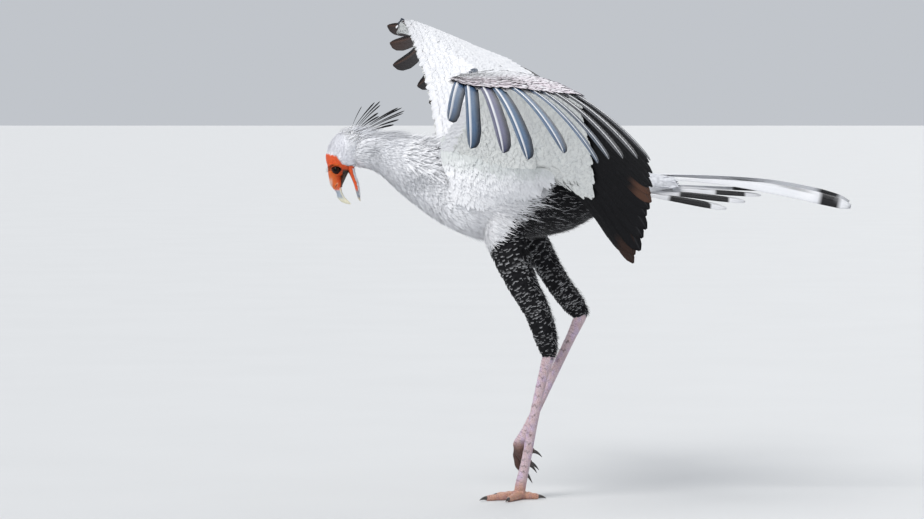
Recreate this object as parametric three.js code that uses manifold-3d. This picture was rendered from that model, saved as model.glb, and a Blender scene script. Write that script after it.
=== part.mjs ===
// A life-size standing secretary bird with both wings raised and cupped, one foot lifted.
// Millimetres, +Z up. The bird faces -X, its left side faces -Y.
// The origin is on the floor under the ball of the standing left foot.

import * as THREE from "three";
import { mergeVertices } from "three/addons/utils/BufferGeometryUtils.js";
import Module from "manifold-3d";

const wasm = await Module();
wasm.setup();

// The gap kept between neighbouring pieces, and how far a cut's slivers may be merged.
const GAP = 0.3;
const SLACK = 0.08;

const COLOURS = {
  white: [0xe9ebee, 0.85],
  grey: [0xc6ccd4, 0.85],
  black: [0x1b1c20, 0.7],
  slate: [0x55677f, 0.6],
  skin: [0xe2601c, 0.55],
  horn: [0xa9b0b6, 0.4],
  shank: [0xd3aeb0, 0.6],
  claw: [0x2c2a29, 0.4],
  eye: [0x2a1a12, 0.1],
};

// The smallest radius that a tapering limb or claw comes down to.
const THINNEST = 0.5;

const vec = (x, y, z) => new THREE.Vector3(x, y, z);
const mix = (a, b, t) => a + (b - a) * t;
const mixVec = (a, b, t) => a.clone().lerp(b, t);

// Value of a keyed curve at t, where keys are [position, value] pairs in rising order.
function keyed(keys, t) {
  const last = keys.length - 1;
  if (t <= keys[0][0]) return keys[0][1];
  if (t >= keys[last][0]) return keys[last][1];
  const next = keys.findIndex(([at]) => at > t);
  const [a, from] = keys[next - 1];
  const [b, to] = keys[next];
  return mix(from, to, (t - a) / (b - a));
}

// A closed body from rings of points, with a fan of triangles over each end.
function ringBody(rings) {
  const sides = rings[0].length;
  const points = rings.flat();
  const faces = [];
  for (let r = 0; r < rings.length - 1; r += 1) {
    for (let s = 0; s < sides; s += 1) {
      const a = r * sides + s;
      const b = r * sides + ((s + 1) % sides);
      faces.push(a, b, a + sides, b, b + sides, a + sides);
    }
  }
  [0, rings.length - 1].forEach((r, end) => {
    const centre = points.length;
    const middle = vec(0, 0, 0);
    rings[r].forEach((point) => middle.addScaledVector(point, 1 / sides));
    points.push(middle);
    for (let s = 0; s < sides; s += 1) {
      const a = r * sides + s;
      const b = r * sides + ((s + 1) % sides);
      faces.push(...(end === 0 ? [b, a, centre] : [a, b, centre]));
    }
  });
  return toSolid(points, faces);
}

// Turns points and triangles into a solid, with the faces turned to point out.
function toSolid(points, faces) {
  let volume = 0;
  for (let i = 0; i < faces.length; i += 3) {
    const [a, b, c] = [points[faces[i]], points[faces[i + 1]], points[faces[i + 2]]];
    volume += a.dot(b.clone().cross(c));
  }
  if (volume < 0) faces.reverse();
  const geometry = new THREE.BufferGeometry();
  geometry.setAttribute("position", new THREE.Float32BufferAttribute(
    points.flatMap((point) => point.toArray()), 3));
  geometry.setIndex(faces);
  return fromGeometry(geometry);
}

function fromGeometry(geometry) {
  const bare = geometry.clone();
  bare.deleteAttribute("normal");
  bare.deleteAttribute("uv");
  const merged = mergeVertices(bare, 1e-4);
  return new wasm.Manifold(new wasm.Mesh({
    numProp: 3,
    vertProperties: new Float32Array(merged.attributes.position.array),
    triVerts: new Uint32Array(merged.index.array),
  }));
}

// The largest single body of a solid, with slivers left by the cuts merged within SLACK.
function toGeometry(solid) {
  const bodies = solid.simplify(SLACK).decompose();
  bodies.sort((a, b) => b.volume() - a.volume());
  const mesh = bodies[0].getMesh();
  const geometry = new THREE.BufferGeometry();
  geometry.setAttribute("position", new THREE.BufferAttribute(mesh.vertProperties, 3));
  geometry.setIndex(new THREE.BufferAttribute(mesh.triVerts, 1));
  geometry.computeVertexNormals();
  return geometry;
}

// A smooth path through the places of keys, and a smooth curve through one of their sizes.
function pathThrough(keys) {
  return new THREE.CatmullRomCurve3(keys.map(([x, y, z]) => vec(x, y, z)), false, "centripetal");
}

function sizeThrough(keys, column) {
  const values = keys.map((key) => vec(key[column], 0, 0));
  return new THREE.CatmullRomCurve3(values, false, "catmullrom", 0.5);
}

// A limb: rings carried along a smooth path. Each key is
// [x, y, z, reach on the back or right-hand side of the path, reach on the other, half width].
// The first reach points up on a path along +X, down on one along -X, and back on one that drops.
// A grown limb is wider by grow all round and reaches further by it at both ends.
function limb(keys, { steps, sides, grow = 0, from = 0, to = 1 }) {
  const path = pathThrough(keys);
  const sizes = [3, 4, 5].map((column) => sizeThrough(keys, column));
  const rings = [];
  for (let i = 0; i <= steps; i += 1) {
    const t = mix(from, to, i / steps);
    const along = path.getTangent(t);
    const beyond = (i === steps ? grow : 0) - (i === 0 ? grow : 0);
    const centre = path.getPoint(t).addScaledVector(along, beyond);
    const up = along.clone().cross(vec(0, 1, 0)).normalize();
    const side = up.clone().cross(along).normalize();
    const [first, second, wide] = sizes.map((size) => Math.max(size.getPoint(t).x, THINNEST) + grow);
    const ring = [];
    for (let s = 0; s < sides; s += 1) {
      const angle = (s / sides) * Math.PI * 2;
      const reach = Math.sin(angle) > 0 ? first : second;
      ring.push(centre.clone()
        .addScaledVector(side, Math.cos(angle) * wide)
        .addScaledVector(up, Math.sin(angle) * reach));
    }
    rings.push(ring);
  }
  return ringBody(rings);
}

// A flat blade along a curve. half(t) is its half width, across(t) points to one edge.
function blade(point, across, half, { steps, thick, edge, grow = 0 }) {
  const rings = [];
  for (let i = 0; i <= steps; i += 1) {
    const t = i / steps;
    const step = 0.01;
    const along = point(Math.min(t + step, 1)).sub(point(Math.max(t - step, 0))).normalize();
    const side = across(t);
    side.addScaledVector(along, -side.dot(along)).normalize();
    const face = along.clone().cross(side);
    const wide = half(t) + grow;
    const rise = thick / 2 + grow;
    const lip = edge / 2 + grow;
    const corners = [[1, lip], [0, rise], [-1, lip], [-1, -lip], [0, -rise], [1, -lip]];
    rings.push(corners.map(([w, f]) => point(t)
      .addScaledVector(side, wide * w)
      .addScaledVector(face, f)));
  }
  return ringBody(rings);
}

// A curved slab: a sheet of points surface(u, v) given the thickness depth(u, v).
// A grown slab reaches further by grow all round, for cutting its neighbours.
function slab(surface, depth, us, rows, grow = 0) {
  const step = 0.02;
  const top = [];
  const bottom = [];
  const first = us[0];
  const last = us[us.length - 1];
  const outward = (i, end) => (i === end ? grow : 0) - (i === 0 ? grow : 0);
  us.forEach((u, i) => {
    for (let j = 0; j <= rows; j += 1) {
      const v = j / rows;
      const alongU = surface(Math.min(u + step, last), v)
        .sub(surface(Math.max(u - step, first), v)).normalize();
      const alongV = surface(u, Math.min(v + step, 1))
        .sub(surface(u, Math.max(v - step, 0))).normalize();
      const face = alongU.clone().cross(alongV).normalize();
      const middle = surface(u, v)
        .addScaledVector(alongU, outward(i, us.length - 1))
        .addScaledVector(alongV, outward(j, rows));
      const rise = depth(u, v) / 2 + grow;
      top.push(middle.clone().addScaledVector(face, rise));
      bottom.push(middle.clone().addScaledVector(face, -rise));
    }
  });
  const wide = rows + 1;
  const under = top.length;
  const faces = [];
  const quad = (a, b, c, d) => faces.push(a, b, c, a, c, d);
  for (let i = 0; i < us.length - 1; i += 1) {
    for (let j = 0; j < rows; j += 1) {
      const a = i * wide + j;
      quad(a, a + wide, a + wide + 1, a + 1);
      quad(under + a, under + a + 1, under + a + wide + 1, under + a + wide);
    }
    const near = i * wide;
    const far = near + rows;
    quad(near, under + near, under + near + wide, near + wide);
    quad(far, far + wide, under + far + wide, under + far);
  }
  const lastRow = (us.length - 1) * wide;
  for (let j = 0; j < rows; j += 1) {
    quad(j, j + 1, under + j + 1, under + j);
    quad(lastRow + j, under + lastRow + j, under + lastRow + j + 1, lastRow + j + 1);
  }
  return toSolid([...top, ...bottom], faces);
}

// Body axis from the tail root to the back of the head:
// [x, y, z, depth below, height above, half width].
const BODY = [
  [290, 0, 669, 22, 22, 36],
  [236, 0, 672, 42, 42, 46],
  [170, 0, 676, 64, 62, 63],
  [85, 0, 668, 98, 96, 84],
  [0, 0, 667, 112, 111, 94],
  [-64, 0, 666, 114, 114, 94],
  [-118, 0, 672, 102, 108, 86],
  [-160, 0, 685, 88, 92, 70],
  [-215, 0, 707, 71, 71, 55],
  [-268, 0, 730, 52, 53, 42],
  [-309, 0, 741, 40, 40, 34],
  [-340, 0, 743, 36, 36, 31],
  [-356, 0, 744, 28, 28, 26],
  [-366, 0, 744, 12, 12, 12],
];
const NECK_STARTS = 0.535;
const BODY_LENGTH = 650;

// The head and bill run down from the crown: [x, y, z, reach behind, reach in front, half width].
const HEAD = [
  [-357, 0, 791, 7, 7, 9],
  [-359, 0, 785, 19, 18, 20],
  [-360, 0, 775, 28, 27, 27],
  [-365, 0, 760, 33, 33, 31],
  [-372, 0, 745, 36, 36, 33],
  [-381, 0, 726, 33, 34, 31],
  [-387, 0, 709, 26, 26, 26],
  [-393, 0, 692, 14, 15, 17],
  [-391, 0, 677, 12, 13, 12],
  [-387, 0, 664, 9, 9.5, 9],
];
const BILL_UPPER = [
  [-386.8, 0, 663.4, 9, 9.5, 9],
  [-384, 0, 653, 8.5, 9, 8],
  [-378, 0, 643, 7, 8, 6.5],
  [-368, 0, 635, 4.2, 5, 4],
  [-360, 0, 630, 1, 1, 1],
];
const BILL_LOWER = [
  [-362, 0, 711, 9, 9, 18],
  [-357, 0, 692, 7, 7, 15],
  [-350, 0, 673, 6.5, 6, 11],
  [-346, 0, 656, 5, 5, 8],
  [-343, 0, 642, 3.2, 3.2, 5],
  [-340, 0, 636, 1, 1, 1.5],
];
const EYE = { centre: vec(-390, 17, 704), radius: 10.5 };

// Nodes in the order they were made, each with its solid.
const nodes = [];
function keep(name, solid, colour) {
  nodes.push({ name, solid, colour });
}

const bodyLoft = (from, to, steps, grow = 0) => limb(BODY, { steps, sides: 18, grow, from, to });
const headLoft = (grow = 0) => limb(HEAD, { steps: 10, sides: 16, grow });
const halfGap = GAP / 2 / BODY_LENGTH;
const TRUNK_STEPS = 10;
const NECK_STEPS = 7;
const trunk = bodyLoft(0, NECK_STARTS - halfGap, TRUNK_STEPS);
const trunkGrown = bodyLoft(0, NECK_STARTS, TRUNK_STEPS, GAP);
const headGrown = headLoft(GAP);

function ball(centre, radius, detail = 10) {
  const sphere = new THREE.SphereGeometry(radius, detail, detail / 2);
  sphere.translate(centre.x, centre.y, centre.z);
  return fromGeometry(sphere);
}

function addHeadAndBody() {
  keep("trunk", trunk, "white");
  keep("neck", bodyLoft(NECK_STARTS + halfGap, 1, NECK_STEPS).subtract(headGrown), "grey");
  let head = headLoft();
  [["left", -1], ["right", 1]].forEach(([side, sign]) => {
    const centre = EYE.centre.clone();
    centre.y *= sign;
    head = head.subtract(ball(centre, EYE.radius + GAP));
    keep(`eye_${side}`, ball(centre, EYE.radius), "eye");
  });
  const lower = limb(BILL_LOWER, { steps: 7, sides: 8 }).subtract(headGrown).subtract(neckGrown());
  keep("head", head, "skin");
  keep("bill_upper", limb(BILL_UPPER, { steps: 7, sides: 10 }), "horn");
  keep("bill_lower", lower, "skin");
}

const neckGrown = () => bodyLoft(NECK_STARTS, 1, NECK_STEPS, GAP);

// Crest: long spoon-tipped quills fanned from the nape, joined by a low pad of feathers.
const CREST = {
  quills: 8,
  steepest: 1.12,
  flattest: 0.16,
  shortest: 62,
  longest: 112,
  stem: 1.6,
  spoon: 4.6,
  spread: 26,
};
function addCrest() {
  const pad = new THREE.SphereGeometry(1, 8, 5);
  pad.scale(20, 19, 7);
  pad.rotateY(0.45);
  pad.translate(-349, 0, 783);
  let crest = fromGeometry(pad);
  for (let i = 0; i < CREST.quills; i += 1) {
    const t = i / (CREST.quills - 1);
    const angle = mix(CREST.steepest, CREST.flattest, t);
    const length = mix(CREST.shortest, CREST.longest, Math.min(1, t * 1.7));
    const lean = (i % 2 === 0 ? 1 : -1) * CREST.spread * (0.35 + 0.65 * t);
    const root = vec(mix(-360, -338, t), lean * 0.3, mix(784, 778, t));
    const tip = root.clone().add(vec(Math.cos(angle) * length, lean, Math.sin(angle) * length));
    const point = (v) => mixVec(root, tip, v).add(vec(0, 0, 5 * Math.sin(Math.PI * v)));
    const half = (v) => keyed([[0, 1.6], [0.55, CREST.stem], [0.85, CREST.spoon], [1, 1.5]], v);
    const across = () => vec(-Math.sin(angle) * 0.4, 1, Math.cos(angle) * 0.4);
    crest = crest.add(blade(point, across, half, { steps: 3, thick: 1.8, edge: 0.8 }));
  }
  keep("crest", crest.subtract(headGrown).subtract(neckGrown()), "black");
}

// Tail: a folded fan arched like a roof, under two long central streamers.
const TAIL = {
  root: vec(252, 0, 678),
  fan: 292,
  drop: 10,
  halfWidth: 62,
  arch: 44,
  thick: 5,
  rootThick: 26,
  streamer: 432,
  streamerFall: 58,
  streamerHalf: 18,
  streamerLift: 4,
  streamerTilt: 0.95,
};
function addTail() {
  const surface = (u, v) => {
    const spread = keyed([[0, 0.45], [0.35, 0.8], [0.7, 1], [1, 0.95]], v);
    const reach = TAIL.fan * (1 - 0.36 * Math.abs(u) ** 1.4);
    return vec(
      TAIL.root.x + v * reach,
      u * TAIL.halfWidth * spread,
      TAIL.root.z - TAIL.drop * v - TAIL.arch * Math.abs(u) ** 1.5 * (0.5 + 0.5 * v) - 4,
    );
  };
  const depth = (u, v) => {
    const atRoot = TAIL.rootThick * (1 - 0.6 * u * u);
    return keyed([[0, atRoot], [0.3, 9], [0.6, TAIL.thick], [1, 3]], v);
  };
  const us = Array.from({ length: 11 }, (_, i) => i / 5 - 1);
  let tail = slab(surface, depth, us, 5).subtract(trunkGrown);
  [["left", -1], ["right", 1]].forEach(([side, sign]) => {
    const point = (t) => vec(
      TAIL.root.x + 18 + t * TAIL.streamer,
      sign * mix(9, 20, t),
      TAIL.root.z + 9 - TAIL.streamerFall * t ** 2.2 + sign * TAIL.streamerLift,
    );
    const half = (t) => keyed([[0, 7], [0.2, 8.6], [0.6, TAIL.streamerHalf], [0.9, 13], [1, 4]], t);
    // The outer edge of each streamer hangs lower the further back it is.
    const tilt = (t) => TAIL.streamerTilt * (0.15 + 0.85 * t);
    const across = (t) => vec(0, Math.cos(tilt(t)), -sign * Math.sin(tilt(t)));
    const size = { steps: 7, thick: 3, edge: 1.2 };
    keep(`tail_streamer_${side}`, blade(point, across, half, size).subtract(trunkGrown), "grey");
    tail = tail.subtract(blade(point, across, half, { ...size, grow: GAP }));
  });
  keep("tail", tail, "grey");
}

// Legs. Each key: [x, y, z, reach behind, reach in front, half width].
const LEGS = {
  left: {
    thigh: [
      [-40, -46, 640, 40, 44, 34],
      [-30, -52, 560, 42, 44, 36],
      [-18, -52, 520, 39, 40, 34],
      [6, -50, 460, 33, 33, 29],
      [36, -46, 402, 29, 28, 26],
      [55, -42, 345, 25, 25, 22],
      [62, -40, 312, 17, 18, 17],
      [63, -40, 300, 9, 10, 10],
    ],
    shank: [
      [70, -43, 345, 9, 9, 9],
      [64, -40, 318, 14, 13, 13],
      [60, -39, 303, 13, 14, 13],
      [50, -36, 270, 11, 11, 10],
      [29, -26, 172, 10.5, 10.5, 9.5],
      [13, -11, 82, 10.5, 10.5, 9.5],
      [2, -2, 30, 12, 12, 12],
      [0, 0, 16, 12, 12, 12],
    ],
  },
  right: {
    thigh: [
      [-5, 44, 640, 38, 42, 34],
      [22, 52, 570, 33, 40, 34],
      [52, 52, 512, 28, 30, 29],
      [85, 50, 455, 26, 26, 26],
      [118, 46, 412, 24, 25, 23],
      [133, 44, 392, 17, 18, 17],
      [138, 43, 383, 8, 9, 9],
    ],
    shank: [
      [128, 44, 418, 8, 8, 8],
      [131, 43, 392, 13, 13, 13],
      [124, 42, 373, 12, 13, 12],
      [108, 40, 340, 10.5, 10.5, 10],
      [60, 35, 240, 10, 10, 9.5],
      [16, 30, 148, 10, 10, 9.5],
      [2, 28, 122, 12, 12, 12],
      [-1, 28, 116, 12.5, 12.5, 12.5],
    ],
  },
};
const SHANK_SHAPE = { steps: 9, sides: 8 };
const THIGH_SHAPE = { steps: 9, sides: 12 };

// Toes: [name, heading in degrees from straight ahead, turned towards the near side, length].
const STANDING_FOOT = {
  ball: vec(0, 0, 12),
  toes: [["inner", -36, 58], ["middle", 24, 78], ["outer", 66, 60], ["hind", 186, 40]],
};
const TOE = { root: 11, tip: 6.5, pad: 1.2, sides: 6, steps: 5 };
const CLAW = {
  length: 19,
  root: 4.6,
  sides: 6,
  steps: 4,
  gap: 0.7,
  restDroop: vec(0, 0, -4.5),
  hungDroop: vec(2, 0, -9),
};

// A toe as three swollen joints on a floor at z 0, returned with its tip and heading.
function standingToe(centre, heading, length) {
  const turn = (heading * Math.PI) / 180;
  const ahead = vec(-Math.cos(turn), -Math.sin(turn), 0);
  const centreHeight = (t) => mix(TOE.root, TOE.tip, t) - TOE.pad;
  const keys = [0, 0.22, 0.4, 0.58, 0.76, 0.92, 1].map((t, i) => {
    const swell = i % 2 === 0 ? 0.88 : 1.05;
    const radius = mix(TOE.root, TOE.tip, t) * swell;
    const at = centre.clone().addScaledVector(ahead, t * length);
    const lift = i === 0 ? 4 : 0;
    return [at.x, at.y, centreHeight(t) + lift, radius];
  });
  const tip = centre.clone().addScaledVector(ahead, length + CLAW.gap);
  tip.z = centreHeight(1) + 0.8;
  return { solid: pathTube(keys, TOE.sides, TOE.steps), tip, ahead };
}

// A tube of round rings along a path of [x, y, z, radius] keys, for paths of any heading.
function pathTube(keys, sides, steps) {
  const path = pathThrough(keys);
  const size = sizeThrough(keys, 3);
  const rings = [];
  for (let i = 0; i <= steps; i += 1) {
    const t = i / steps;
    const along = path.getTangent(t);
    const helper = Math.abs(along.z) > 0.8 ? vec(1, 0, 0) : vec(0, 0, 1);
    const side = along.clone().cross(helper).normalize();
    const up = side.clone().cross(along).normalize();
    const radius = Math.max(size.getPoint(t).x, THINNEST);
    rings.push(Array.from({ length: sides }, (_, s) => {
      const angle = ((s + 0.5) / sides) * Math.PI * 2;
      return path.getPoint(t)
        .addScaledVector(side, Math.cos(angle) * radius)
        .addScaledVector(up, Math.sin(angle) * radius);
    }));
  }
  return ringBody(rings);
}

// A claw that starts square on the end of its toe and bends towards droop.
function claw(start, ahead, droop) {
  const keys = [0, 0.35, 0.7, 1].map((t) => {
    const at = start.clone().addScaledVector(ahead, CLAW.length * t * (1 - 0.15 * t));
    at.addScaledVector(droop, t ** 2.4);
    return [at.x, at.y, at.z, mix(CLAW.root, 0.6, t ** 1.3)];
  });
  return pathTube(keys, CLAW.sides, CLAW.steps);
}

const FLOOR = (() => {
  const box = new THREE.BoxGeometry(400, 400, 60);
  box.translate(0, 0, -30);
  return fromGeometry(box);
})();

function addStandingFoot(shankGrown) {
  let foot = ball(STANDING_FOOT.ball, 14, 8);
  const claws = [];
  STANDING_FOOT.toes.forEach(([name, heading, length]) => {
    const toe = standingToe(STANDING_FOOT.ball, heading, length);
    foot = foot.add(toe.solid);
    claws.push([`claw_left_${name}`, claw(toe.tip, toe.ahead, CLAW.restDroop)]);
  });
  keep("foot_left", foot.subtract(FLOOR).subtract(shankGrown), "shank");
  claws.forEach(([name, solid]) => keep(name, solid, "claw"));
}

// The lifted foot hangs half closed: each toe is [name, joints from the ball to the claw's root].
const LIFTED_FOOT = {
  ball: vec(-1, 28, 114),
  toes: [
    ["hind", [vec(10, 29, 106), vec(22, 30, 102), vec(30, 30, 100)]],
    ["inner", [vec(0, 17, 98), vec(10, 14, 82), vec(24, 15, 76)]],
    ["middle", [vec(-5, 30, 94), vec(-1, 30, 68), vec(14, 30, 52)]],
    ["outer", [vec(1, 43, 98), vec(8, 46, 80), vec(22, 46, 70)]],
  ],
};
function addLiftedFoot(shankGrown) {
  let foot = ball(LIFTED_FOOT.ball, 13.5, 8);
  const claws = [];
  LIFTED_FOOT.toes.forEach(([name, joints]) => {
    const path = [LIFTED_FOOT.ball, ...joints];
    const keys = path.map((at, i) => [at.x, at.y, at.z, mix(TOE.root, TOE.tip, i / 3)]);
    foot = foot.add(pathTube(keys, TOE.sides, TOE.steps));
    const ahead = joints[2].clone().sub(joints[1]).normalize();
    const start = joints[2].clone().addScaledVector(ahead, CLAW.gap);
    claws.push([`claw_right_${name}`, claw(start, ahead, CLAW.hungDroop)]);
  });
  keep("foot_right", foot.subtract(shankGrown), "shank");
  claws.forEach(([name, solid]) => keep(name, solid, "claw"));
}

function addLegs() {
  Object.entries(LEGS).forEach(([side, leg]) => {
    const shank = limb(leg.shank, SHANK_SHAPE);
    const shankGrown = limb(leg.shank, { ...SHANK_SHAPE, grow: GAP });
    const thigh = limb(leg.thigh, THIGH_SHAPE);
    keep(`thigh_${side}`, thigh.subtract(trunkGrown).subtract(shankGrown), "black");
    keep(`shank_${side}`, shank, "shank");
    if (side === "left") addStandingFoot(shankGrown);
    else addLiftedFoot(shankGrown);
  });
}

// Wings. Feathers are numbered from the outermost primary inwards: 10 primaries on the hand,
// 14 secondaries on the forearm, then the inner feathers that close against the back.
const PRIMARIES = 10;
const SECONDARIES = 14;
const WRIST = PRIMARIES - 0.5;
const ELBOW = WRIST + SECONDARIES;
const INNERMOST = 30;
const WINGS = {
  left: {
    shoulder: vec(-150, -64, 730),
    elbow: vec(20, -160, 722),
    wrist: vec(-60, -280, 903),
    handTip: vec(-123, -400, 893),
    tips: [
      [0, -150, -760, 811], [1, -108, -780, 757], [2, -45, -770, 748], [3, 2, -750, 735],
      [4, 73, -700, 747], [5, 142, -625, 726], [6, 166, -560, 733], [9, 255, -430, 729],
      [10, 267, -400, 709], [13, 270, -330, 667], [16, 272, -290, 631], [19, 262, -250, 577],
      [22, 242, -200, 515], [24, 222, -170, 522], [27, 166, -120, 610], [30, 95, -92, 680],
    ],
    droop: 2.2,
    cup: vec(0, 0, 0),
    handLead: 15,
    shoulderLead: vec(-14, 0, 4),
    webBow: vec(0, 0, 0),
  },
  right: {
    shoulder: vec(-150, 64, 740),
    elbow: vec(-80, 170, 888),
    wrist: vec(-236, 300, 1018),
    handTip: vec(-272, 418, 1008),
    tips: [
      [0, -298, 800, 1027], [1, -292, 802, 987], [2, -285, 800, 935], [3, -228, 790, 886],
      [4, -200, 770, 846], [6, -105, 735, 832], [9, 10, 615, 890], [10, 34, 565, 912],
      [13, 70, 470, 893], [16, 102, 380, 868], [20, 150, 285, 815], [24, 170, 200, 770],
      [27, 135, 130, 760], [30, 95, 88, 735],
    ],
    droop: 1.25,
    cup: vec(150, 0, 15),
    handLead: 24,
    shoulderLead: vec(-26, 0, 10),
    webBow: vec(14, 0, 4),
  },
};
const CUP_POWER = 2.6;
const WEB_POWER = 0.85;
const COVERT_EDGE = [[0, 0.34], [9, 0.46], [16, 0.44], [24, 0.5], [30, 0.6]];
const FEATHER_HALF = [[0, 17], [4, 19], [9, 21]];
const DEPTH = { lead: 7, hand: 18, forearm: 25, upperArm: 40, covert: 5, vane: 2.6 };

// Where each wing's feather roots, leading edge and feather tips lie, by feather number.
function wingLines(wing) {
  const root = (k) => {
    if (k <= WRIST) return mixVec(wing.handTip, wing.wrist, k / WRIST);
    if (k <= ELBOW) return mixVec(wing.wrist, wing.elbow, (k - WRIST) / SECONDARIES);
    return mixVec(wing.elbow, wing.shoulder, ((k - ELBOW) / (INNERMOST - ELBOW)) * 0.9);
  };
  const tip = (k) => {
    const column = (c) => smoothKeyed(wing.tips.map((row) => [row[0], row[c]]), k);
    return vec(column(1), column(2), column(3));
  };
  const lead = (k) => {
    const ahead = root(k).sub(tip(k)).normalize();
    if (k <= WRIST) return root(k).addScaledVector(ahead, wing.handLead);
    const shoulderLead = wing.shoulder.clone().add(wing.shoulderLead);
    const inward = ((k - WRIST) / (INNERMOST - WRIST)) ** WEB_POWER;
    const edge = mixVec(lead(WRIST), shoulderLead, inward);
    return edge.addScaledVector(wing.webBow, Math.sin(Math.PI * inward));
  };
  return { root, tip, lead };
}

// Smooth value through keys, by cubic pieces whose slope at each key is the mean of its sides.
function smoothKeyed(keys, t) {
  const last = keys.length - 1;
  const clamped = Math.min(Math.max(t, keys[0][0]), keys[last][0]);
  let i = keys.findIndex(([at]) => at > clamped) - 1;
  if (i < 0) i = last - 1;
  const slope = (n) => {
    const a = keys[Math.max(n - 1, 0)];
    const b = keys[Math.min(n + 1, last)];
    return (b[1] - a[1]) / (b[0] - a[0]);
  };
  const [x0, y0] = keys[i];
  const [x1, y1] = keys[i + 1];
  const span = x1 - x0;
  const s = (clamped - x0) / span;
  const past = t - clamped;
  const value = y0 * (1 + 2 * s) * (1 - s) ** 2 + y1 * s * s * (3 - 2 * s)
    + slope(i) * span * s * (1 - s) ** 2 - slope(i + 1) * span * s * s * (1 - s);
  const endSlope = t < clamped ? slope(0) : slope(last);
  return value + past * endSlope;
}

// A point of the wing: v runs from -1 at the leading edge by 0 at the bones to 1 at the tip.
// The outer feathers swing out along cup before they bend back to their tips.
function wingPoint(lines, wing, k, v) {
  const root = lines.root(k);
  if (v < 0) return mixVec(root, lines.lead(k), -v);
  const tip = lines.tip(k);
  const point = mixVec(root, tip, v);
  point.z = root.z + (tip.z - root.z) * v ** wing.droop;
  const share = keyed([[4, 1], [PRIMARIES, 0]], k);
  return point.addScaledVector(wing.cup, share * (v - v ** CUP_POWER));
}

function wingDepth(k, v) {
  const bone = keyed([[0, DEPTH.hand], [WRIST, DEPTH.hand + 3], [16, DEPTH.forearm],
    [ELBOW, DEPTH.upperArm - 6], [INNERMOST, DEPTH.upperArm]], k);
  const edge = keyed(COVERT_EDGE, k);
  return keyed([[-1, DEPTH.lead], [-0.6, bone * 0.6], [0, bone], [edge * 0.5, bone * 0.5],
    [edge, DEPTH.covert], [edge + 0.15, DEPTH.vane], [1, DEPTH.vane * 0.8]], v);
}

function range(from, to, count) {
  return Array.from({ length: count + 1 }, (_, i) => mix(from, to, i / count));
}

const SEAM = 0.014;
const FAN_START = 0.008;
const PRIMARY_START = 0.01;

function addWing(side) {
  const wing = WINGS[side];
  const lines = wingLines(wing);
  const at = (k, v) => wingPoint(lines, wing, k, v);
  const coverts = (k, t) => mix(-1, keyed(COVERT_EDGE, k), t);
  const armSurface = (k, t) => at(k, coverts(k, t));
  const armDepth = (k, t) => wingDepth(k, coverts(k, t));
  const arm = (from, to, columns) => [0, GAP].map((grow) => (
    slab(armSurface, armDepth, range(from, to, columns), 6, grow)));
  const [hand, handGrown] = arm(-0.5, WRIST - SEAM, 6);
  const [forearm, forearmGrown] = arm(WRIST + SEAM, ELBOW - SEAM, 7);
  const [upperArm, upperArmGrown] = arm(ELBOW + SEAM, INNERMOST, 4);
  const bodies = trunkGrown.add(neckGrown());
  keep(`wing_${side}_hand`, hand, "white");
  keep(`wing_${side}_forearm`, forearm.subtract(handGrown), "white");
  keep(`wing_${side}_upper_arm`, upperArm.subtract(forearmGrown).subtract(bodies), "white");

  const fan = (from, to) => [0, GAP].map((grow) => {
    const scallop = (k) => 0.98 + 0.02 * Math.cos(Math.PI * (k - from));
    const start = (k) => keyed(COVERT_EDGE, k) + FAN_START;
    const surface = (k, t) => at(k, mix(start(k), scallop(k), t));
    const depth = (k, t) => wingDepth(k, mix(start(k), scallop(k), t));
    return slab(surface, depth, range(from, to, Math.round(to - from)), 4, grow);
  });
  const [secondaries, secondariesGrown] = fan(WRIST + SEAM, ELBOW - SEAM);
  const [tertials] = fan(ELBOW + SEAM, INNERMOST);
  const armsGrown = forearmGrown.add(handGrown).add(upperArmGrown);
  keep(`wing_${side}_secondaries`, secondaries.subtract(armsGrown), "black");
  const inner = tertials.subtract(armsGrown).subtract(secondariesGrown).subtract(trunkGrown);
  keep(`wing_${side}_tertials`, inner, "black");

  let taken = armsGrown.add(secondariesGrown);
  for (let k = PRIMARIES - 1; k >= 0; k -= 1) {
    const [primary, primaryGrown] = primaryBlades(at, k);
    const number = String(PRIMARIES - k).padStart(2, "0");
    const colour = side === "left" ? "slate" : "black";
    keep(`wing_${side}_primary_${number}`, primary.subtract(taken), colour);
    taken = taken.add(primaryGrown);
  }
}

// One outer flight feather, plain and grown, as wide as its neighbours leave room for.
function primaryBlades(at, k) {
  const start = keyed(COVERT_EDGE, k) + PRIMARY_START;
  const point = (t) => at(k, mix(start, 1, t));
  const across = (t) => at(k - 0.1, mix(start, 1, t)).sub(at(k + 0.1, mix(start, 1, t)));
  const half = (t) => {
    const v = mix(start, 1, t);
    const inner = at(k + 0.5, v).distanceTo(point(t));
    const outer = at(k - 0.5, v).distanceTo(point(t));
    const room = Math.min(inner, outer) * 0.93 - GAP / 2;
    const shape = keyed([[0, 1], [0.8, 1], [0.93, 0.8], [1, 0.3]], t);
    return Math.min(room, keyed(FEATHER_HALF, k) * shape);
  };
  const size = { steps: 5, thick: DEPTH.vane, edge: 1 };
  return [0, GAP].map((grow) => blade(point, across, half, { ...size, grow }));
}

addHeadAndBody();
addCrest();
addTail();
addLegs();
addWing("left");
addWing("right");

const bird = new THREE.Group();
nodes.forEach(({ name, solid, colour }) => {
  const [tint, roughness] = COLOURS[colour];
  const material = new THREE.MeshStandardMaterial({ color: tint, roughness, metalness: 0 });
  const mesh = new THREE.Mesh(toGeometry(solid), material);
  mesh.name = name;
  bird.add(mesh);
});

export default bird;
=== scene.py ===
"""The finish of a life-size standing secretary bird: skin, face, bill, legs and every feather."""

import bmesh
import bpy
import numpy as np
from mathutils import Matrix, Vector
from mathutils.kdtree import KDTree


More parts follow.
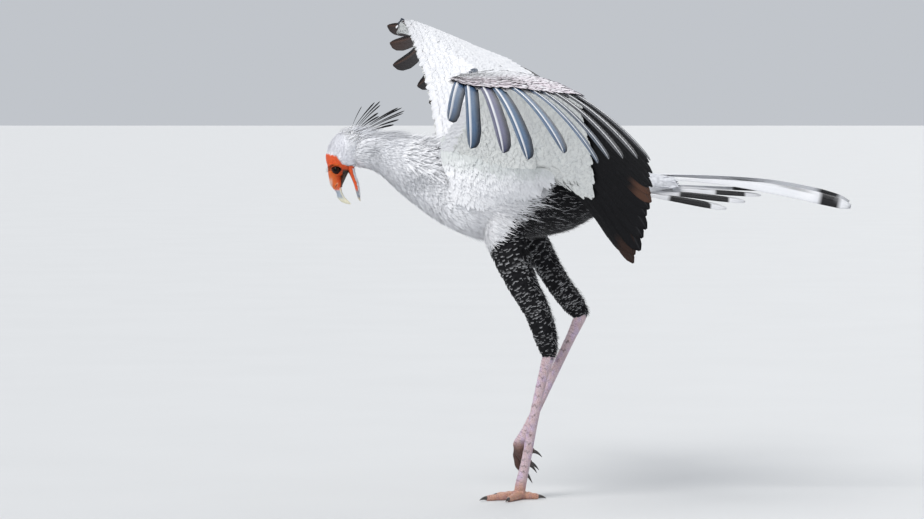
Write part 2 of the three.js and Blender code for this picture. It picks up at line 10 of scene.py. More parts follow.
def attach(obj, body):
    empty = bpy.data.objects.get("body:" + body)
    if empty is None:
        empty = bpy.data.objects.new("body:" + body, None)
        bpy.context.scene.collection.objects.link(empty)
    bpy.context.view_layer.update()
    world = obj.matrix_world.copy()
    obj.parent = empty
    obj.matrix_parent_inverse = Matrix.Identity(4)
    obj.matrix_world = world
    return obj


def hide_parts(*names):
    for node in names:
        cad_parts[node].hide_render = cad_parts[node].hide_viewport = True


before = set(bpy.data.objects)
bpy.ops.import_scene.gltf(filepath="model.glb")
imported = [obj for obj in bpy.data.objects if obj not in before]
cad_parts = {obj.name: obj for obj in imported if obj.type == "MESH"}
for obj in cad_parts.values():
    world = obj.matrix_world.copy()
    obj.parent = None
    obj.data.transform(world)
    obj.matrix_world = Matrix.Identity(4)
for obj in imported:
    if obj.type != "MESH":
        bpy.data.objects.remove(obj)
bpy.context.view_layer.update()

bl_info = {
    "name": "Secretary bird finish",
    "version": (1, 0, 0),
    "blender": (4, 5, 0),
    "location": "3D View > Sidebar > Bird",
    "description": "Builds the skin, bill, legs and plumage of a standing secretary bird",
    "category": "Object",
}

BODY_NAME = "root"
MM = 0.001
TURN = 2 * np.pi
UP = np.array([0.0, 0.0, 1.0])
RIGHT = np.array([0.0, 1.0, 0.0])
SIDES = {"left": -1, "right": 1}
THINNEST = 0.5 * MM
# How wide a patch each tuft takes on the bake map.
BAKE_PATCH = 0.003
# Near black for the inside of the open bill: painted shade in the mouth.
MOUTH_SHADE = np.array([0.030, 0.028, 0.018])

# The bird faces -X and its left side faces -Y. The keys below repeat the CAD's, in millimetres:
# [x, y, z, reach one way, reach the other way, half width].
TRUNK_AND_NECK = [
    [290, 0, 669, 22, 22, 36],
    [236, 0, 672, 42, 42, 46],
    [170, 0, 676, 64, 62, 63],
    [85, 0, 668, 98, 96, 84],
    [0, 0, 667, 112, 111, 94],
    [-64, 0, 666, 114, 114, 94],
    [-118, 0, 672, 102, 108, 86],
    [-160, 0, 685, 88, 92, 70],
    [-215, 0, 707, 71, 71, 55],
    [-268, 0, 730, 52, 53, 42],
    [-309, 0, 741, 40, 40, 34],
    [-340, 0, 743, 36, 36, 31],
    [-356, 0, 744, 28, 28, 26],
    [-366, 0, 744, 12, 12, 12],
]
HEAD = [
    [-357, 0, 791, 7, 7, 9],
    [-359, 0, 785, 19, 18, 20],
    [-360, 0, 775, 28, 27, 27],
    [-365, 0, 760, 33, 33, 31],
    [-372, 0, 745, 36, 36, 33],
    [-381, 0, 726, 33, 34, 31],
    [-387, 0, 709, 26, 26, 26],
    [-393, 0, 692, 14, 15, 17],
    [-391, 0, 677, 12, 13, 12],
    [-387, 0, 664, 9, 9.5, 9],
]
BILL_UPPER = [
    [-386.8, 0, 663.4, 9, 9.5, 9],
    [-384, 0, 653, 8.5, 9, 8],
    [-378, 0, 643, 7, 8, 6.5],
    [-368, 0, 635, 4.2, 5, 4],
    [-360, 0, 630, 1, 1, 1],
]
BILL_LOWER = [
    [-362, 0, 711, 9, 9, 18],
    [-357, 0, 692, 7, 7, 15],
    [-350, 0, 673, 6.5, 6, 11],
    [-346, 0, 656, 5, 5, 8],
    [-343, 0, 642, 3.2, 3.2, 5],
    [-340, 0, 636, 1, 1, 1.5],
]
THIGHS = {
    "left": [
        [-40, -46, 640, 40, 44, 34],
        [-30, -52, 560, 42, 44, 36],
        [-18, -52, 520, 39, 40, 34],
        [6, -50, 460, 33, 33, 29],
        [36, -46, 402, 29, 28, 26],
        [55, -42, 345, 25, 25, 22],
        [62, -40, 312, 17, 18, 17],
        [63, -40, 300, 9, 10, 10],
    ],
    "right": [
        [-5, 44, 640, 38, 42, 34],
        [22, 52, 570, 33, 40, 34],
        [52, 52, 512, 28, 30, 29],
        [85, 50, 455, 26, 26, 26],
        [118, 46, 412, 24, 25, 23],
        [133, 44, 392, 17, 18, 17],
        [138, 43, 383, 8, 9, 9],
    ],
}
SHANKS = {
    "left": [
        [70, -43, 345, 9, 9, 9],
        [64, -40, 318, 14, 13, 13],
        [60, -39, 303, 13, 14, 13],
        [50, -36, 270, 11, 11, 10],
        [29, -26, 172, 10.5, 10.5, 9.5],
        [13, -11, 82, 10.5, 10.5, 9.5],
        [2, -2, 30, 12, 12, 12],
        [0, 0, 16, 12, 12, 12],
    ],
    "right": [
        [128, 44, 418, 8, 8, 8],
        [131, 43, 392, 13, 13, 13],
        [124, 42, 373, 12, 13, 12],
        [108, 40, 340, 10.5, 10.5, 10],
        [60, 35, 240, 10, 10, 9.5],
        [16, 30, 148, 10, 10, 9.5],
        [2, 28, 122, 12, 12, 12],
        [-1, 28, 116, 12.5, 12.5, 12.5],
    ],
}
EYE = {"centre": np.array([-390.0, 17.0, 704.0]), "radius": 10.5}
TOES = ("inner", "middle", "outer", "hind")

# Feathers are numbered from the outermost primary inwards, as in the CAD.
PRIMARIES = 10
SECONDARIES = 14
WRIST = PRIMARIES - 0.5
ELBOW = WRIST + SECONDARIES
INNERMOST = 30
WINGS = {
    "left": {
        "shoulder": [-150, -64, 730],
        "elbow": [20, -160, 722],
        "wrist": [-60, -280, 903],
        "hand_tip": [-123, -400, 893],
        "tips": [
            [0, -150, -760, 811], [1, -108, -780, 757], [2, -45, -770, 748], [3, 2, -750, 735],
            [4, 73, -700, 747], [5, 142, -625, 726], [6, 166, -560, 733], [9, 255, -430, 729],
            [10, 267, -400, 709], [13, 270, -330, 667], [16, 272, -290, 631], [19, 262, -250, 577],
            [22, 242, -200, 515], [24, 222, -170, 522], [27, 166, -120, 610], [30, 95, -92, 680],
        ],
        "droop": 2.2,
        "cup": [0, 0, 0],
        "hand_lead": 15,
        "shoulder_lead": [-14, 0, 4],
        "web_bow": [0, 0, 0],
    },
    "right": {
        "shoulder": [-150, 64, 740],
        "elbow": [-80, 170, 888],
        "wrist": [-236, 300, 1018],
        "hand_tip": [-272, 418, 1008],
        "tips": [
            [0, -298, 800, 1027], [1, -292, 802, 987], [2, -285, 800, 935], [3, -228, 790, 886],
            [4, -200, 770, 846], [6, -105, 735, 832], [9, 10, 615, 890], [10, 34, 565, 912],
            [13, 70, 470, 893], [16, 102, 380, 868], [20, 150, 285, 815], [24, 170, 200, 770],
            [27, 135, 130, 760], [30, 95, 88, 735],
        ],
        "droop": 1.25,
        "cup": [150, 0, 15],
        "hand_lead": 24,
        "shoulder_lead": [-26, 0, 10],
        "web_bow": [14, 0, 4],
    },
}
CUP_POWER = 2.6
WEB_POWER = 0.85
COVERT_EDGE = [[0, 0.34], [9, 0.46], [16, 0.44], [24, 0.5], [30, 0.6]]
# How far along the flight feathers the coverts reach on each wing.
COVERTED = {
    "left": COVERT_EDGE,
    "right": [[0, 0.34], [6, 0.44], [9, 0.66], [14, 0.72], [19, 0.66], [24, 0.56], [30, 0.6]],
}
BONE_DEPTH = [[0, 18], [WRIST, 21], [16, 25], [ELBOW, 34], [INNERMOST, 40]]


def mix(a, b, t):
    """The value a share t of the way from a to b."""
    return a + (b - a) * t


def unit(v):
    """Each vector divided by its length."""
    return v / np.maximum(np.linalg.norm(v, axis=-1, keepdims=True), 1e-12)


def keyed(keys, t):
    """Straight stretches between [place, value] keys."""
    places, values = np.asarray(keys, float).T
    return np.interp(t, places, values)


def step_between(low, high, t):
    """0 below low, 1 above high, and a smooth rise between them."""
    s = np.clip((t - low) / (high - low), 0, 1)
    return s * s * (3 - 2 * s)


def through(keys, t, even=False):
    """Cubic pieces through rows of keys, with t from 0 to 1 counted in keys. The slope at a key is half
    the step between its neighbours where even, and otherwise weighs them by the root of their distance."""
    keys = np.asarray(keys, float)
    last = len(keys) - 1
    padded = np.vstack([2 * keys[0] - keys[1], keys, 2 * keys[-1] - keys[-2]])
    place = np.clip(t, 0, 1) * last
    i = np.minimum(place.astype(int), last - 1)
    w = (place - i)[..., None]
    a, b, c, d = (padded[i + j] for j in range(4))
    if even:
        leave, arrive = 0.5 * (c - a), 0.5 * (d - b)
    else:
        gaps = [np.sqrt(np.maximum(np.linalg.norm(q - p, axis=-1, keepdims=True), 1e-9))
                for p, q in ((a, b), (b, c), (c, d))]
        first, middle, end = gaps
        leave = middle * ((b - a) / first - (c - a) / (first + middle) + (c - b) / middle)
        arrive = middle * ((c - b) / middle - (d - b) / (middle + end) + (d - c) / end)
    return (b * (2 * w**3 - 3 * w**2 + 1) + leave * (w**3 - 2 * w**2 + w)
            + c * (3 * w**2 - 2 * w**3) + arrive * (w**3 - w**2))


def smooth_keyed(keys, t):
    """Cubic pieces through [place, value, ...] keys, whose slope at a key is the mean of its two sides,
    and which run on straight past both ends."""
    keys = np.asarray(keys, float)
    places, values = keys[:, 0], keys[:, 1:]
    last = len(keys) - 1
    ahead = np.minimum(np.arange(last + 1) + 1, last)
    behind = np.maximum(np.arange(last + 1) - 1, 0)
    slopes = (values[ahead] - values[behind]) / (places[ahead] - places[behind])[:, None]
    t = np.asarray(t, float)
    inside = np.clip(t, places[0], places[-1])
    i = np.clip(np.searchsorted(places, inside, side="right") - 1, 0, last - 1)
    span = (places[i + 1] - places[i])[..., None]
    s = (inside - places[i])[..., None] / span
    value = (values[i] * (1 + 2 * s) * (1 - s) ** 2 + values[i + 1] * s * s * (3 - 2 * s)
             + slopes[i] * span * s * (1 - s) ** 2 - slopes[i + 1] * span * s * s * (1 - s))
    past = (t - inside)[..., None]
    return value + past * np.where(past < 0, slopes[0], slopes[-1])


def loft_point(keys, t, angle, inset=0.0):
    """A point on a limb: rings round a curve through the keys, each half an ellipse of the one reach and
    half of the other, drawn in by inset. Metres."""
    keys = np.asarray(keys, float) * MM
    t, angle, inset = np.broadcast_arrays(np.asarray(t, float), angle, inset)
    step = 1e-3
    low, high = np.clip(t - step, 0, 1), np.clip(t + step, 0, 1)
    centre = through(keys[:, :3], t)
    ahead = unit(through(keys[:, :3], high) - through(keys[:, :3], low))
    up = unit(np.cross(ahead, RIGHT))
    side = np.cross(up, ahead)
    sizes = np.maximum(through(keys[:, 3:], t, even=True), THINNEST)
    reach = np.where(np.sin(angle) > 0, sizes[..., 0], sizes[..., 1])
    tall = np.maximum(reach - inset, THINNEST)[..., None] * np.sin(angle)[..., None]
    wide = np.maximum(sizes[..., 2] - inset, THINNEST)[..., None] * np.cos(angle)[..., None]
    return centre + side * wide + up * tall


def wing_root(wing, k):
    """The place of feather k on the bones: hand, forearm and upper arm are three straight stretches."""
    hand_tip, wrist, elbow, shoulder = (np.array(wing[part], float) * MM
                                        for part in ("hand_tip", "wrist", "elbow", "shoulder"))
    k = np.asarray(k, float)[..., None]
    on_hand = mix(hand_tip, wrist, k / WRIST)
    on_forearm = mix(wrist, elbow, (k - WRIST) / SECONDARIES)
    on_upper_arm = mix(elbow, shoulder, (k - ELBOW) / (INNERMOST - ELBOW) * 0.9)
    return np.where(k <= WRIST, on_hand, np.where(k <= ELBOW, on_forearm, on_upper_arm))


def wing_lead(wing, k):
    """The wing's leading edge: ahead of the hand's bones, then a web from the wrist to the shoulder."""
    k = np.asarray(k, float)
    tip = smooth_keyed(wing["tips"], k) * MM
    root = wing_root(wing, k)
    on_hand = root + unit(root - tip) * wing["hand_lead"] * MM
    wrist_root = wing_root(wing, WRIST)
    wrist_tip = smooth_keyed(wing["tips"], WRIST) * MM
    wrist_lead = wrist_root + unit(wrist_root - wrist_tip) * wing["hand_lead"] * MM
    shoulder_lead = (np.array(wing["shoulder"]) + wing["shoulder_lead"]) * MM
    inward = (np.clip((k - WRIST) / (INNERMOST - WRIST), 0, 1) ** WEB_POWER)[..., None]
    bow = np.array(wing["web_bow"]) * MM * np.sin(np.pi * inward)
    return np.where(k[..., None] <= WRIST, on_hand, mix(wrist_lead, shoulder_lead, inward) + bow)


def wing_point(side, k, v):
    """The wing's middle sheet: v runs from -1 at the leading edge by 0 at the bones to 1 at the feather's
    tip. The feather falls by a power of v, and the outer ones first swing out along cup."""
    wing = WINGS[side]
    k, v = np.broadcast_arrays(np.asarray(k, float), np.asarray(v, float))
    root = wing_root(wing, k)
    tip = smooth_keyed(wing["tips"], k) * MM
    behind = np.maximum(v, 0)[..., None]
    point = mix(root, tip, behind)
    point[..., 2] = mix(root[..., 2], tip[..., 2], behind[..., 0] ** wing["droop"])
    share = keyed([[4, 1], [PRIMARIES, 0]], k)[..., None]
    point = point + np.array(wing["cup"]) * MM * share * (behind - behind**CUP_POWER)
    return np.where(v[..., None] < 0, mix(root, wing_lead(wing, k), -v[..., None]), point)


def wing_depth(k, v):
    """The wing's thickness: thickest at the bones, thin at the leading edge and past the coverts."""
    bone = keyed(BONE_DEPTH, k) * MM
    edge = keyed(COVERT_EDGE, k)
    ahead = mix(bone, 7 * MM, np.clip(-v, 0, 1) ** 0.8)
    behind = mix(bone, 5 * MM, np.clip(v / edge, 0, 1) ** 0.7)
    return np.where(v < 0, ahead, np.where(v > edge, 2.6 * MM, behind))


class Form:
    """A surface of two parameters that feathers are laid on, with its outward side."""

    def __init__(self, point, outward=1, steps=(1e-3, 1e-3)):
        self.point = point
        self.outward = outward
        self.steps = steps

    def slopes(self, u, v):
        """How the point moves with u and with v."""
        du, dv = self.steps
        along_u = (self.point(u + du, v) - self.point(u - du, v)) / (2 * du)
        along_v = (self.point(u, v + dv) - self.point(u, v - dv)) / (2 * dv)
        return along_u, along_v

    def normal(self, u, v):
        """The outward direction."""
        along_u, along_v = self.slopes(u, v)
        return unit(np.cross(along_u, along_v)) * self.outward


def outward_form(keys):
    """A limb as a form, facing away from the middle of its rings."""
    form = Form(lambda u, v: loft_point(keys, u, v * TURN))
    ring = form.point(np.full(8, 0.5), np.arange(8) / 8)
    away = form.normal(np.array([0.5]), np.array([0.0]))[0] @ (ring[0] - ring.mean(0))
    form.outward = float(np.sign(away))
    return form


BODY_FORM = outward_form(TRUNK_AND_NECK)
HEAD_FORM = outward_form(HEAD)
THIGH_FORMS = {side: outward_form(keys) for side, keys in THIGHS.items()}


def wing_lengths(side, k):
    """The wing's two lengths at k: from its leading edge to its bones, and from them to the tips."""
    root, lead = wing_point(side, k, 0.0), wing_point(side, k, -1.0)
    tip = wing_point(side, k, 1.0)
    return np.linalg.norm(lead - root, axis=-1), np.linalg.norm(tip - root, axis=-1)


def wing_place(side, k, reach):
    """The place v along feather k that lies reach metres behind the leading edge."""
    ahead, behind = wing_lengths(side, k)
    return np.where(reach < ahead, reach / ahead - 1, (reach - ahead) / behind)


def wing_middle(side):
    """The wing's middle sheet as a form in (feather number, place along it), facing up."""
    middle = Form(lambda k, v: wing_point(side, k, v), steps=(0.05, 0.01))
    middle.outward = float(np.sign(middle.normal(np.array([16.0]), np.array([0.3]))[0][2]))
    return middle


def wing_face(side, face):
    """One face of a wing as a form in (feather number, metres behind the leading edge): 1 is the upper
    face and -1 the lower. Each point stands off the middle sheet by half the wing's depth."""
    middle = wing_middle(side)

    def face_point(k, reach):
        v = wing_place(side, k, reach)
        return middle.point(k, v) + middle.normal(k, v) * (face * wing_depth(k, v) / 2)[..., None]

    flipped = Form(face_point, steps=(0.05, 0.004))
    flipped.outward = face * float(np.sign(flipped.normal(np.array([16.0]), np.array([0.08]))[0][2]))
    return flipped


# The coat's depth over the trunk and neck, by the place along the body, in millimetres.
BODY_COAT = [[0, 4], [0.12, 9], [0.3, 15], [0.5, 14], [0.62, 11], [0.75, 8], [0.9, 6], [1, 4]]
THIGH_COAT = 6.0
HEAD_COAT = 3.0
WING_COAT = 3.0
# The feather number where the feathered hand ends.
HAND_END = {"left": -0.5, "right": 1.2}


def rng_for(name):
    """A generator of random numbers of its own for each piece, the same on every run."""
    return np.random.default_rng(sum(ord(letter) * (i + 1) for i, letter in enumerate(name)))


def even_roots(form, count, u_range, v_range, density=None):
    """Roots spread evenly over a form: the golden steps of a plane lattice, each kept with a chance in
    proportion to the area it stands for, times density(u, v)."""
    plastic = 1.32471795724
    i = np.arange(1, count + 1)
    u = mix(*u_range, (i / plastic) % 1)
    v = mix(*v_range, (i / plastic**2) % 1)
    along_u, along_v = form.slopes(u, v)
    area = np.linalg.norm(np.cross(along_u, along_v), axis=-1)
    chance = area / np.quantile(area, 0.98)
    if density is not None:
        chance = chance * density(u, v)
    kept = (i * 0.6180339887) % 1 < chance
    return u[kept], v[kept]


def rates(flat, along_u, along_v):
    """How fast u and v change on the way along flat: the two shares of along_u and along_v in it."""
    uu, vv, uv = (np.sum(a * b, -1) for a, b in ((along_u, along_u), (along_v, along_v), (along_u, along_v)))
    onto_u, onto_v = np.sum(flat * along_u, -1), np.sum(flat * along_v, -1)
    area = np.maximum(uu * vv - uv**2, 1e-12)
    return (vv * onto_u - uv * onto_v) / area, (uu * onto_v - uv * onto_u) / area


def lay(form, u, v, heading, length, width, root_height, tip_height, outline, rows, columns,
        lift_power=1.0, hollow=0.35, turn=None, bend=None):
    """Vanes lying on a form. A vane's middle line runs from its root over the form towards heading, a
    direction that is first flattened onto the form, and its height over the form goes from root_height to
    tip_height as a power of the way along. Across, it is as wide as outline allows and dips at its edges
    by hollow times its half width. Returns points as (vane, row, column, xyz)."""
    count = len(u)
    along_u, along_v = form.slopes(u, v)
    normal = form.normal(u, v)
    flat = heading - normal * np.sum(heading * normal, -1, keepdims=True)
    flat = unit(flat)
    if turn is not None:
        flat = flat * np.cos(turn)[:, None] + np.cross(normal, flat) * np.sin(turn)[:, None]
    u_rate, v_rate = rates(flat, along_u, along_v)
    t = np.linspace(0, 1, rows)
    length = np.broadcast_to(length, count)
    run = length[:, None] * t
    sweep = np.zeros(count) if bend is None else bend
    line_u = u[:, None] + u_rate[:, None] * run
    line_v = v[:, None] + v_rate[:, None] * run
    base = form.point(line_u, line_v)
    outward = form.normal(line_u, line_v)
    height = mix(np.broadcast_to(root_height, count)[:, None], np.broadcast_to(tip_height, count)[:, None],
                 t**lift_power)
    line = base + outward * height[..., None]
    ahead = unit(np.gradient(line, axis=1))
    side = unit(np.cross(outward, ahead))
    line = line + side * (sweep[:, None] * run * t)[..., None]
    half = (np.broadcast_to(width, count)[:, None] / 2 * outline(t))[..., None, None]
    w = np.linspace(-1, 1, columns)[:, None]
    return (line[:, :, None] + side[:, :, None] * half * w
            - outward[:, :, None] * half * hollow * w**2)


def leaf(t):
    """A vane that widens quickly and ends in a soft point."""
    return np.interp(t, [0, 0.25, 0.6, 0.85, 1], [0.35, 0.9, 1, 0.7, 0.12])


def round_vane(t):
    """A vane with straight sides and a round end."""
    return np.interp(t, [0, 0.15, 0.7, 0.85, 0.95, 1], [0.55, 0.9, 1, 0.92, 0.62, 0.2])


def strand(t):
    """A thin lock that only narrows."""
    return np.interp(t, [0, 0.5, 1], [1, 0.75, 0.08])


def new_object(name, vertices, quads, tris, material, slot, tints=None, maps=None):
    """A mesh object from whole arrays, riding on the bird. maps holds corner places by map name, in the
    order of the quads' corners and then the triangles'."""
    mesh = bpy.data.meshes.new(name)
    faces = [quads, tris] if tris is not None and len(tris) else [quads]
    corners = np.concatenate([f.reshape(-1) for f in faces]).astype(np.int32)
    totals = np.concatenate([np.full(len(f), f.shape[1]) for f in faces]).astype(np.int32)
    starts = np.concatenate([[0], np.cumsum(totals)[:-1]]).astype(np.int32)
    mesh.vertices.add(len(vertices))
    mesh.vertices.foreach_set("co", np.asarray(vertices, np.float32).reshape(-1))
    mesh.loops.add(len(corners))
    mesh.loops.foreach_set("vertex_index", corners)
    mesh.polygons.add(len(totals))
    mesh.polygons.foreach_set("loop_start", starts)
    mesh.polygons.foreach_set("loop_total", totals)
    mesh.polygons.foreach_set("use_smooth", np.full(len(totals), True))
    mesh.update(calc_edges=True)
    if tints is not None:
        paint(mesh, tints)
    for map_name, places in (maps or {}).items():
        layer = mesh.uv_layers.new(name=map_name)
        layer.data.foreach_set("uv", np.asarray(places, np.float32).reshape(-1))
    piece = bpy.data.objects.new(name, mesh)
    bpy.context.scene.collection.objects.link(piece)
    mesh.materials.append(material)
    if slot:
        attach(piece, BODY_NAME)
    return piece


def paint(mesh, tints):
    """Stores a colour at every vertex in the attribute named Tint."""
    colours = np.concatenate([tints, np.ones((len(tints), 1))], 1)
    attribute = mesh.color_attributes.new("Tint", "FLOAT_COLOR", "POINT")
    attribute.data.foreach_set("color", colours.astype(np.float32).reshape(-1))


def soften(mesh, facing, share):
    """Draws the normals towards those of the form below by a share, so that a coat shades as one."""
    own = mesh_normals(mesh)
    facing = np.where(np.sum(own * facing, -1, keepdims=True) < 0, -facing, facing)
    mesh.normals_split_custom_set_from_vertices(unit(mix(own, facing, share)).astype(np.float32))


def vane_piece(name, batches, material, slot, facing=None, share=0.65):
    """Joins batches of vanes into one piece. Each batch is (points, tints, root places): its bake map puts
    every vane on a patch BAKE_PATCH across at its root's place on the skin's own unwrap, and the map named
    Vane runs across and along each vane. facing holds the form's outward direction for each vane."""
    vertices, quads, tints, bake, vane = [], [], [], [], []
    start = 0
    for points, colours, places in batches:
        count, rows, columns, _ = points.shape
        index = start + np.arange(count * rows * columns).reshape(count, rows, columns)
        faces = np.stack([index[:, :-1, :-1], index[:, 1:, :-1], index[:, 1:, 1:], index[:, :-1, 1:]], -1)
        quads.append(faces.reshape(-1, 4))
        vertices.append(points.reshape(-1, 3))
        tints.append(colours.reshape(-1, 3))
        across, along = np.meshgrid(np.linspace(0, 1, columns), np.linspace(0, 1, rows))
        own = np.stack([across, along], -1)
        vane.append(np.broadcast_to(own, (count, rows, columns, 2)).reshape(-1, 2))
        bake.append((places[:, None, None] + (own - 0.5) * BAKE_PATCH).reshape(-1, 2))
        start += count * rows * columns
    quads = np.concatenate(quads)
    corners = quads.reshape(-1)
    maps = {"Vane": np.concatenate(vane)[corners], "OFBake": np.concatenate(bake)[corners]}
    piece = new_object(name, np.concatenate(vertices), quads, None, material, slot,
                       tints=np.concatenate(tints), maps=maps)
    if facing is not None:
        counts = [(points.shape[0], points.shape[1] * points.shape[2]) for points, _, _ in batches]
        spread = [np.repeat(part, counts[i][1], axis=0) for i, part in enumerate(facing)]
        soften(piece.data, np.concatenate(spread), share)
    return piece


def tube_piece(name, points, material, slot, tints, across=None):
    """Joins closed tubes into one piece. points is (tube, row, corner of the ring, xyz). Rings that run
    the wrong way round are turned, so that faces point out, and both ends are closed by a fan."""
    count, rows, columns, _ = points.shape
    middle = rows // 2
    ring = points[:, middle]
    centre = ring.mean(1)
    area = np.cross(ring - centre[:, None], np.roll(ring, -1, 1) - centre[:, None]).sum(1)
    ahead = points[:, middle + 1].mean(1) - points[:, middle - 1].mean(1)
    turned = np.sum(area * ahead, -1) < 0
    points = np.where(turned[:, None, None, None], points[:, :, ::-1], points)
    tints = np.where(turned[:, None, None, None], tints[:, :, ::-1], tints)
    across = np.arange(columns) / columns if across is None else across
    across = np.where(turned[:, None], across[::-1], across)
    index = np.arange(count * rows * columns).reshape(count, rows, columns)
    after = np.roll(index, -1, 2)
    quads = np.stack([index[:, :-1], after[:, :-1], after[:, 1:], index[:, 1:]], -1).reshape(-1, 4)
    ends = points[:, [0, -1]].mean(2).reshape(-1, 3)
    end_index = count * rows * columns + np.arange(count * 2).reshape(count, 2)
    first = np.stack([after[:, 0], index[:, 0], np.repeat(end_index[:, :1], columns, 1)], -1)
    last = np.stack([index[:, -1], after[:, -1], np.repeat(end_index[:, 1:], columns, 1)], -1)
    tris = np.concatenate([first.reshape(-1, 3), last.reshape(-1, 3)])
    vertices = np.concatenate([points.reshape(-1, 3), ends])
    all_tints = np.concatenate([tints.reshape(-1, 3), tints[:, [0, -1]].mean(2).reshape(-1, 3)])

    tiles = int(np.ceil(np.sqrt(count)))
    tile = np.stack([np.arange(count) % tiles, np.arange(count) // tiles], -1) / tiles
    along = np.linspace(0, 1, rows)
    j = np.arange(columns)
    left, right = np.meshgrid(j / columns, along[:-1]), np.meshgrid((j + 1) / columns, along[1:])
    tile_places = np.stack([
        np.stack([left[0], left[1]], -1), np.stack([right[0], left[1]], -1),
        np.stack([right[0], right[1]], -1), np.stack([left[0], right[1]], -1)], -2)
    margin = 0.96 / tiles
    quad_bake = tile[:, None, None, None] + tile_places * margin
    fan = np.stack([np.stack([(j + 1) / columns, 0 * j], -1), np.stack([j / columns, 0 * j], -1),
                    np.stack([(j + 0.5) / columns, 0 * j], -1)], -2)
    fan_top = fan * [1, 0] + [0, 1]
    tri_bake = np.concatenate([(tile[:, None, None] + f * margin).reshape(-1, 2) for f in (fan, fan_top)])
    vane = np.stack([np.broadcast_to(across[:, None], (count, rows, columns)),
                     np.broadcast_to(along[:, None], (count, rows, columns))], -1).reshape(-1, 2)
    vane = np.concatenate([vane, np.tile([[0.5, 0], [0.5, 1]], (count, 1))])
    corners = np.concatenate([quads.reshape(-1), tris.reshape(-1)])
    maps = {"Vane": vane[corners], "OFBake": np.concatenate([quad_bake.reshape(-1, 2), tri_bake])}
    return new_object(name, vertices, quads, tris, material, slot, tints=all_tints, maps=maps)


def settled_mesh(name, parts, voxel, rounds):
    """Melts closed shells into one body: their joined mesh is rebuilt on a grid of the given pitch and its
    vertices are drawn towards their neighbours for some rounds. Each part is (row, corner, xyz)."""
    vertices, quads, tris, start = [], [], [], 0
    for points in parts:
        rows, columns, _ = points.shape
        index = start + np.arange(rows * columns).reshape(rows, columns)
        after = np.roll(index, -1, 1)
        quads.append(np.stack([index[:-1], after[:-1], after[1:], index[1:]], -1).reshape(-1, 4))
        low, high = start + rows * columns, start + rows * columns + 1
        tris.append(np.stack([after[0], index[0], np.full(columns, low)], -1))
        tris.append(np.stack([index[-1], after[-1], np.full(columns, high)], -1))
        vertices.append(np.concatenate([points.reshape(-1, 3), points[[0, -1]].mean(1)]))
        start += rows * columns + 2
    mesh = bpy.data.meshes.new(name)
    faces = [f.tolist() for f in quads + tris]
    mesh.from_pydata(np.concatenate(vertices).tolist(), [], [face for group in faces for face in group])
    rough = bpy.data.objects.new(name, mesh)
    bpy.context.scene.collection.objects.link(rough)
    turn_out(mesh)
    remesh = rough.modifiers.new("Melt", "REMESH")
    remesh.mode = "VOXEL"
    remesh.voxel_size = voxel
    remesh.use_smooth_shade = True
    relax = rough.modifiers.new("Relax", "SMOOTH")
    relax.factor = 0.5
    relax.iterations = rounds
    bpy.context.view_layer.update()
    done = bpy.data.meshes.new_from_object(rough.evaluated_get(bpy.context.evaluated_depsgraph_get()))
    bpy.data.objects.remove(rough)
    done.name = name
    return done


def turn_out(mesh):
    """Turns every shell of a mesh to face outwards."""
    working = bmesh.new()
    working.from_mesh(mesh)
    bmesh.ops.recalc_face_normals(working, faces=working.faces)
    working.to_mesh(mesh)
    working.free()


def mesh_points(mesh):
    """All vertex places of a mesh."""
    points = np.empty(len(mesh.vertices) * 3, np.float32)
    mesh.vertices.foreach_get("co", points)
    return points.reshape(-1, 3).astype(float)


def mesh_normals(mesh):
    """All vertex normals of a mesh."""
    normals = np.empty(len(mesh.vertices) * 3, np.float32)
    mesh.vertex_normals.foreach_get("vector", normals)
    return normals.reshape(-1, 3).astype(float)


def finished_object(mesh, name, material, tints):
    """Makes a riding object of a mesh that was melted from shells."""
    paint(mesh, tints)
    piece = bpy.data.objects.new(name, mesh)
    bpy.context.scene.collection.objects.link(piece)
    mesh.materials.clear()
    mesh.materials.append(material)
    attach(piece, BODY_NAME)
    return piece


def wavy(points, pitch, seed):
    """A smooth uneven value from 0 to 1 that follows the place: a sum of sines in seeded directions."""
    generator = np.random.default_rng(seed)
    total = np.zeros(points.shape[:-1])
    for _ in range(5):
        direction = unit(generator.normal(size=3)) * TURN / (pitch * generator.uniform(0.7, 1.5))
        total += np.sin(points @ direction + generator.uniform(0, TURN))
    return 0.5 + total / 10


